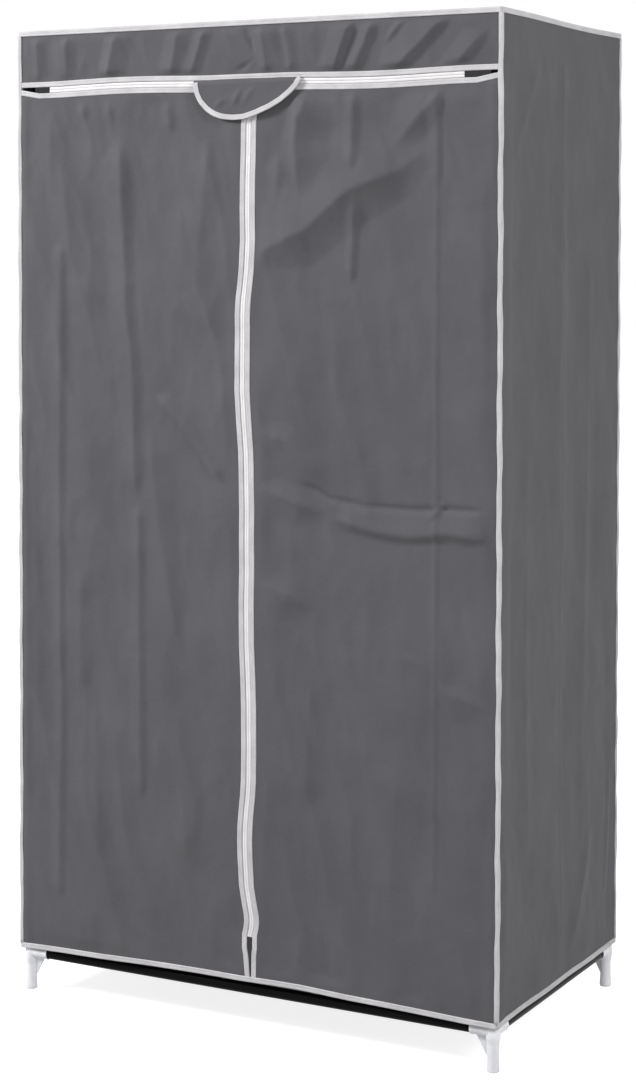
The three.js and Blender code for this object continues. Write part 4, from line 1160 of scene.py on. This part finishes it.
def front_path(corners):
    """Rows along a line of (x, z) corners on the front, with the binding on the left of its run."""
    corners = [Vector(corner) for corner in corners]
    ways = [(b - a).normalized() for a, b in zip(corners[:-1], corners[1:])]
    sides = [Vector((-way.y, way.x)) for way in ways]
    reaches = [0, *(mitre_reach(a, b) for a, b in zip(ways[:-1], ways[1:])), 0]
    rows = []
    for i, way in enumerate(ways):
        if i > 0:
            middle = (sides[i - 1] + sides[i]).normalized()
            rows.append((corners[i], middle / middle.dot(sides[i])))
        begin, end = reaches[i], (corners[i + 1] - corners[i]).length - reaches[i + 1]
        pieces = max(1, round((end - begin) / fine_step))
        rows += [(corners[i] + way * lerp(begin, end, k / pieces), sides[i]) for k in range(pieces + 1)]
    return [((p.x, front_y, p.y), (a.x, 0, a.y), (0, -1, 0)) for p, a in rows]


# Across from the folded edge, and outward from the cloth's face
tape_section = [
    (-0.35, -0.35), (-0.32, 0.2), (-0.05, 0.62), (0.6, 0.85), (1.9, 0.88), (2.8, 0.72), (3.4, 0.58),
    (4.0, 0.72), (4.9, 0.86), (6.3, 0.84), (6.85, 0.68), (7.0, 0.3), (7.0, -0.6), (6.6, -0.9),
    (5.0, -0.9), (3.4, -0.9), (1.8, -0.9), (0.3, -0.9), (-0.2, -0.75),
]
STITCH_LINE = (3.4, 0.74)
corner_inset = 4.4  # where the front's tapes pass under the piping


def door_edges(side):
    """The corners of one front half's sewn edge, from the cover's corner to the hem."""
    outer = edge_of(side) - corner_inset
    park = top_zip_end(side) + slider_park
    low = wall_bottom + hem_rise(np.array(zip_x)) + 3
    line = [
        (outer, float(slot_floor(side, outer))),
        (park, door_top),
        (zip_gap, door_top),
        (zip_gap, door_bottom - slider_park),
        (3.2, door_bottom - slider_park - 9),
        (slot_end, float(low)),
    ]
    corners = [(zip_x + side * u, z) for u, z in line]
    return corners if side > 0 else corners[::-1]


door_tapes = {}
for face, side in (("left", -1), ("right", 1)):
    path = front_path(door_edges(side))
    door_tapes[face] = sewn_tape(face + "_front_binding", tape_section, path, [STITCH_LINE])
header_path = front_path([(side * (cloth_x - corner_inset), zip_z + zip_gap) for side in (-1, 1)])
header_tape = sewn_tape("header_edge_binding", tape_section, header_path, [STITCH_LINE])
print("binding faces:", len(door_tapes["left"].data.polygons), len(header_tape.data.polygons))


# %% Rings round the top and the hem
ring_step = 5.0
corner_radius = 2.2


def ring_path(rise=None):
    """Rows round the four walls, with small arcs at the corners."""
    rows, radius = [], corner_radius
    quarter = [(1, -1, 0), (1, 1, 90), (-1, 1, 180), (-1, -1, 270)]
    for i, (sx, sy, start) in enumerate(quarter):
        centre = Vector((sx * (cloth_x - radius), sy * (cloth_y - radius)))
        for k in range(6):
            turn = math.radians(start - 90 + 18 * k)
            out = Vector((math.cos(turn), math.sin(turn)))
            rows.append((centre + out * radius, out))
        nx, ny, after = quarter[(i + 1) % 4]
        end_turn = math.radians(after - 90)
        out = Vector((math.cos(end_turn), math.sin(end_turn)))
        end = Vector((nx * (cloth_x - radius), ny * (cloth_y - radius))) + out * radius
        begin = rows[-1][0]
        pieces = round((end - begin).length / ring_step)
        for k in range(1, pieces):
            rows.append((begin.lerp(end, k / pieces), out))
    lifted = []
    for p, out in rows:
        up = float(rise(p.x)) if rise and p.y < -cloth_y + radius + 0.5 else 0.0
        lifted.append(((p.x, p.y, up), (out.x, out.y, 0), (0, 0, 1)))
    return lifted


# Outward from the wall's face, and upward
rim_face = [(-0.8, 0), (0.9, 0), (1.3, 0.35), (1.38, 1.4), (1.2, 2.4), (1.12, 2.9), (1.2, 3.4), (1.38, 4.3)]
rim_over = [
    (1.4, 1.2), (1.12, 0.5), (0.5, 0.12), (-1.6, 0), (-4.6, 0.1), (-5.3, 0.4), (-5.5, 1.0), (-5.3, 2.3),
    (-0.8, 2.3),
]
rim_section = [(out, rim_bottom + up) for out, up in rim_face]
rim_section += [(out, full_height - down) for out, down in rim_over]
hem_face = [
    (-0.9, 0.5), (-0.5, 0.05), (0.6, 0), (1.15, 0.35), (1.38, 1.3), (1.4, 2.6), (1.22, 3.3), (1.12, 3.8),
    (1.22, 4.3), (1.4, 5.1), (1.38, 6.6), (1.1, 7.3), (0.5, 7.5), (-0.9, 7.3),
]
hem_section = [(out, hem_low + up) for out, up in hem_face]
rim_tape = sewn_tape("rim_binding", rim_section, ring_path(), [(1.28, rim_bottom + 2.9)], closed=True)
hem_path = ring_path(rise=hem_rise)
hem_tape = sewn_tape("hem_edge_binding", hem_section, hem_path, [(1.28, hem_low + 3.8)], closed=True)

# %% Corner piping
# Outward from one wall and from the other, round the corner where they meet
piping_section = [
    (-0.6, -4.1), (0.9, -4.15), (1.3, -3.8), (1.42, -3.0), (1.22, -2.3), (1.15, -2.0), (1.22, -1.7),
    (1.42, -1.0), (1.45, 0.3), (1.15, 1.15), (0.3, 1.45), (-1.0, 1.42), (-1.7, 1.22), (-2.0, 1.15),
    (-2.3, 1.22), (-3.0, 1.42), (-3.8, 1.3), (-4.15, 0.9), (-4.1, -0.6), (-0.6, -0.6),
]
piping_seams = [(1.3, -2.0), (-2.0, 1.3)]
pipings = {}
low_z, high_z = hem_low + hem_band - 1.2, rim_bottom + 0.6
rows = round((high_z - low_z) / 6)
for corner in corners:
    side_x, side_y = corner_sides(corner)
    x, y = side_x * cloth_x, side_y * cloth_y
    heights = [lerp(low_z, high_z, k / rows) for k in range(rows + 1)]
    path = [((x, y, z), (side_x, 0, 0), (0, side_y, 0)) for z in heights]
    pipings[corner] = sewn_tape("corner_piping_" + corner, piping_section, path, piping_seams)
print("ring faces:", len(rim_tape.data.polygons), len(hem_tape.data.polygons))

# %% [markdown]
# ## Zips
# The coil of these zips is on the inside, so from the front each half is a smooth woven tape that
# rises over the coil and dives to the middle, where the two halves meet in a fine line. From the
# inside the coil shows: small rounded loops, close together, which only need a few faces each.
# %% Zip tapes
# Across from the zip's middle, and outward from the cloth's face
coil_section = [
    (0.1, -0.6), (0.16, -0.32), (0.5, -0.14), (1.3, -0.06), (2.6, -0.06), (3.5, -0.2), (3.95, -0.6),
    (4.2, -1.06), (5.6, -1.15), (7.2, -1.15), (8.9, -1.15), (10.7, -1.15), (10.7, -1.75), (8.9, -1.75),
    (7.2, -1.75), (5.6, -1.75), (3.9, -1.7), (2.2, -1.65), (0.5, -1.6), (0.1, -1.4),
]
flat_section = [(across, -1.15) for across in (3.0, 3.9, 7.2, 8.9, 10.7)] + [
    (across, -1.75) for across in (10.7, 8.9, 7.2, 3.9, 3.0)
]
coil_step = 1.5
chain_start = 39  # from where the zips meet to the first teeth


def add_coil(shape, path):
    """Loops of the coil along the inside of a tape's edge."""
    line = np.array([p for p, _, _ in path], float)
    across, outward = np.array(path[0][1], float), np.array(path[0][2], float)
    length = float(np.linalg.norm(line[-1] - line[0]))
    way = (line[-1] - line[0]) / length
    at = (np.arange(int(length / coil_step)) + 0.5) * coil_step
    spots = line[0] + way * at[:, None] + across * 1.55 - outward * 1.75
    basis = np.stack([across * 1.5, outward * 0.42, way * 0.48])
    return gather([shape, grains(spots, np.repeat(basis[None], len(spots), axis=0))])


def straight_path(start, end, across):
    """Rows between two places (x, z) on the front."""
    start, end = Vector((start[0], front_y, start[1])), Vector((end[0], front_y, end[1]))
    count = max(1, round((end - start).length / fine_step))
    return [(tuple(start.lerp(end, k / count)), across, (0, -1, 0)) for k in range(count + 1)]


def teeth_run(side):
    """Where the top zip's teeth begin and end on one side."""
    return (zip_x + side * chain_start, zip_z), (zip_x + side * (top_zip_end(side) - 2.5), zip_z)


def with_coils(toothed, plain):
    """Tapes with teeth and tapes without, gathered into one shape that hangs on the cover."""
    shapes = [carried(coil_section, path) for path in toothed]
    whole = gather(shapes + [carried(flat_section, path) for path in plain])
    for path in toothed:
        add_coil(whole, path)
    return hang(whole)


def door_zip(side):
    """One front half's tapes, beside the upright zip and under the top zip."""
    near, far = teeth_run(side)
    side_top = (zip_x, zip_z - chain_start)
    side_path = straight_path((zip_x, door_bottom), side_top, (side, 0, 0))
    rest_path = straight_path(side_top, (zip_x, zip_z - 10.8), (side, 0, 0))
    top_path = straight_path(near, far, (0, 0, -1))
    meet_path = straight_path((zip_x + side * zip_gap, zip_z), near, (0, 0, -1))
    return with_coils([side_path, top_path], [rest_path, meet_path])


def header_zip():
    runs = [teeth_run(side) for side in (-1, 1)]
    between = straight_path(runs[0][0], runs[1][0], (0, 0, 1))
    return with_coils([straight_path(near, far, (0, 0, 1)) for near, far in runs], [between])


door_zips = {}
for face, side in (("left", -1), ("right", 1)):
    door_zips[face] = finish_piece(face + "_front_zip", door_zip(side), [zip_cloth])
header_zip_piece = finish_piece("header_zip", header_zip(), [zip_cloth])
print("zip faces:", [len(p.data.polygons) for p in (*door_zips.values(), header_zip_piece)])


# %% Sliders and pull tabs
def refined(node):
    """A copy of a small metal node with its edges broken, so that they catch the light."""
    shape = bmesh.new()
    shape.from_mesh(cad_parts[node].data)
    resize(shape, 1 / MM)
    bmesh.ops.remove_doubles(shape, verts=shape.verts, dist=0.002)
    whole = {"verts": shape.verts, "edges": shape.edges, "use_dissolve_boundaries": False}
    bmesh.ops.dissolve_limit(shape, angle_limit=math.radians(3), **whole)
    shared = [edge for edge in shape.edges if len(edge.link_faces) == 2]
    sharp = [edge for edge in shared if edge.calc_face_angle() > math.radians(28)]
    rounding = {"offset": 0.16, "segments": 2, "profile": 0.5, "material": -1, "clamp_overlap": True}
    bmesh.ops.bevel(shape, geom=sharp, affect="EDGES", **rounding)
    return shape


metal_pieces = {}
for zip_name in ("centre", "left", "right"):
    for part in ("slider", "pull_tab"):
        node = zip_name + "_" + part
        piece = finish_piece(node + "_metal", refined(node), [zip_lacquer])
        piece.modifiers.new("crisp", "WEIGHTED_NORMAL").keep_sharp = False
        metal_pieces[node] = piece
print("slider faces:", len(metal_pieces["centre_slider"].data.polygons))

# %% [markdown]
# ## The half-moon flap
# A small half-round flap hides the place where the zips meet. It is sewn in under the header's
# binding and hangs over the sliders, so it stands a little proud and throws a shadow. Its curve is
# a list of shares of its width and depth, which a smooth line runs through.
# %% Flap
moon_left, moon_right = (end.x for end in box_mm("half_moon_flap"))
moon_low = box_mm("half_moon_flap")[0].z
moon_top = zip_z + 4.5
flap_stand = 3.8  # how far it stands out, to clear the sliders
moon_tuck = 3.4  # the strip of the flap that goes up behind the header's binding
moon_curve = [
    (0, 0), (0.004, 0.12), (0.02, 0.33), (0.06, 0.55), (0.13, 0.76), (0.2, 0.885), (0.28, 0.965),
    (0.38, 1), (0.48, 0.985), (0.6, 0.888), (0.72, 0.752), (0.83, 0.575), (0.92, 0.365), (0.98, 0.19),
    (1, 0),
]


def moon_edge(across):
    """The flap's depth at a share of its width."""
    fine = np.linspace(0, 1, 1200)
    rough = look_up(moon_curve, fine)
    soft = np.convolve(np.pad(rough, 24, mode="edge"), np.hanning(49) / np.hanning(49).sum(), "valid")
    return np.interp(across, fine, np.minimum(soft, rough + 0.05))


def over_sliders(points):
    """Brings the flat flap out over the sliders, with a curl along its edge."""
    x, y, z = points.T
    fall = np.clip((moon_top + 0.6 - z) / 5.0, 0, 1)
    drop = np.clip((moon_top - z) / (moon_top - moon_low), 0, 1)
    share = (x - moon_left) / (moon_right - moon_left)
    swell = 1.6 * np.sin(math.pi * np.clip(share, 0, 1)) * smoothstep(drop, 0.05, 0.6)
    curl = 2.6 * drop ** 2 * (0.6 + 0.4 * np.sin(9 * share + 0.6))
    out = 0.2 + flap_stand * fall + swell + curl
    return np.stack([x, y - out, z], axis=1)


# Lines on the flap, across and up
flap_creases = [
    ([(-21, 1264), (-5, 1296)], 2.6, 9, 7, False),
    ([(-52, 1265), (-27, 1280)], 2.0, 8, 8, False),
    ([(16, 1300), (-4, 1268)], 1.8, 10, 8, False),
]


def flap_waves(x, z):
    waves = unevenness(x, z, 61.0, 30, 26, 1.3) + all_creases(flap_creases, x, z)
    return waves * smoothstep(moon_top - z, 3, 16)


def lay_out(shape):
    """Lays the flat flap or its binding out over the sliders, with the flap's waves."""
    points = over_sliders(points_of(shape))
    points[:, 1] -= flap_waves(points[:, 0], points[:, 2])
    move_points(shape, points)


def ease_ends(share):
    """Shares that lie closer together towards both ends."""
    return (1 - np.cos(math.pi * share)) / 2


def flap_place(across, up):
    share = ease_ends(across)
    x = lerp(moon_left, moon_right, share)
    depth = np.maximum((moon_top - moon_low) * moon_edge(share), 0.8)
    z = lerp(moon_top - depth, moon_top + moon_tuck, up)
    return x, np.full(x.shape, front_y - 0.5), z


flap_flat = (moon_right - moon_left, moon_top + moon_tuck - moon_low)
flap_shape = flat_grid(96, 34, flap_flat, flap_place)
lay_out(flap_shape)
flap_shape.normal_update()
bmesh.ops.solidify(flap_shape, geom=flap_shape.faces[:], thickness=cloth_thickness)
flap = two_faced_piece("half_moon_cloth", flap_shape, (0, -1, 0), [cover_cloth, cloth_inside_painted_glow])

# %% The flap's binding
shares = ease_ends(np.linspace(0, 1, 61))
edge_x = lerp(moon_left, moon_right, shares)
edge_z = moon_top - (moon_top - moon_low) * moon_edge(shares)
spots = np.stack([edge_x, edge_z], axis=1)
gone = np.concatenate([[0], np.cumsum(np.linalg.norm(np.diff(spots, axis=0), axis=1))])
even = np.linspace(0, gone[-1], 140)
spots = np.stack([np.interp(even, gone, spots[:, 0]), np.interp(even, gone, spots[:, 1])], axis=1)
ways = np.gradient(spots, axis=0)
ways /= np.linalg.norm(ways, axis=1)[:, None]
moon_path = [
    ((x, front_y - 0.75, z), (-wz, 0, wx), (0, -1, 0))
    for (x, z), (wx, wz) in zip(spots.tolist(), ways.tolist())
]
# Its back lies deeper than a door's, because the flap bends more sharply
flap_section = [(across, out - 0.4 * (out < -0.8)) for across, out in tape_section]
shape = carried(flap_section, moon_path)
add_stitches(shape, moon_path, *STITCH_LINE)
lay_out(shape)
flap_tape = finish_piece("half_moon_edge_binding", shape, [binding_tape, sewing_thread])
print("flap faces:", len(flap.data.polygons), len(flap_tape.data.polygons))


def bend_with_door(piece, face, side, slot, *nodes):
    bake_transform(piece)
    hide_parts(*nodes)


def bend_with_flap(piece, node):
    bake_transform(piece)
    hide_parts(node)


for face, side in (("left", -1), ("right", 1)):
    bend_with_door(fronts[face], face, side, "cloth", face + "_door", face + "_lower_front")
    bend_with_door(door_tapes[face], face, side, "binding", face + "_door_binding")
    bend_with_door(door_zips[face], face, side, "zip_tape", face + "_door_zip_tape")
bend_with_flap(flap, "half_moon_flap")
bend_with_flap(flap_tape, "half_moon_binding")
for piece, slot, node in (
    (header_tape, "binding", "header_binding"),
    (header_zip_piece, "zip_tape", "header_zip_tape"),
    (rim_tape, "binding", "top_binding"),
    (hem_tape, "binding", "hem_binding"),
    (header, "cloth", "header"),
    (right_wall, "cloth", "right_side_panel"),
    (left_wall, "cloth", "left_side_panel"),
    (back_wall, "cloth", "back_panel"),
    (top_cloth, "cloth", "top_panel"),
    (base_sheet, "base_cloth", "base_cloth"),
):
    dress(piece, "wardrobe", slot, node)
for corner in corners:
    dress(pipings[corner], "wardrobe", "binding", "piping_" + corner)
for node, piece in metal_pieces.items():
    dress(piece, node, "zip_metal", node)
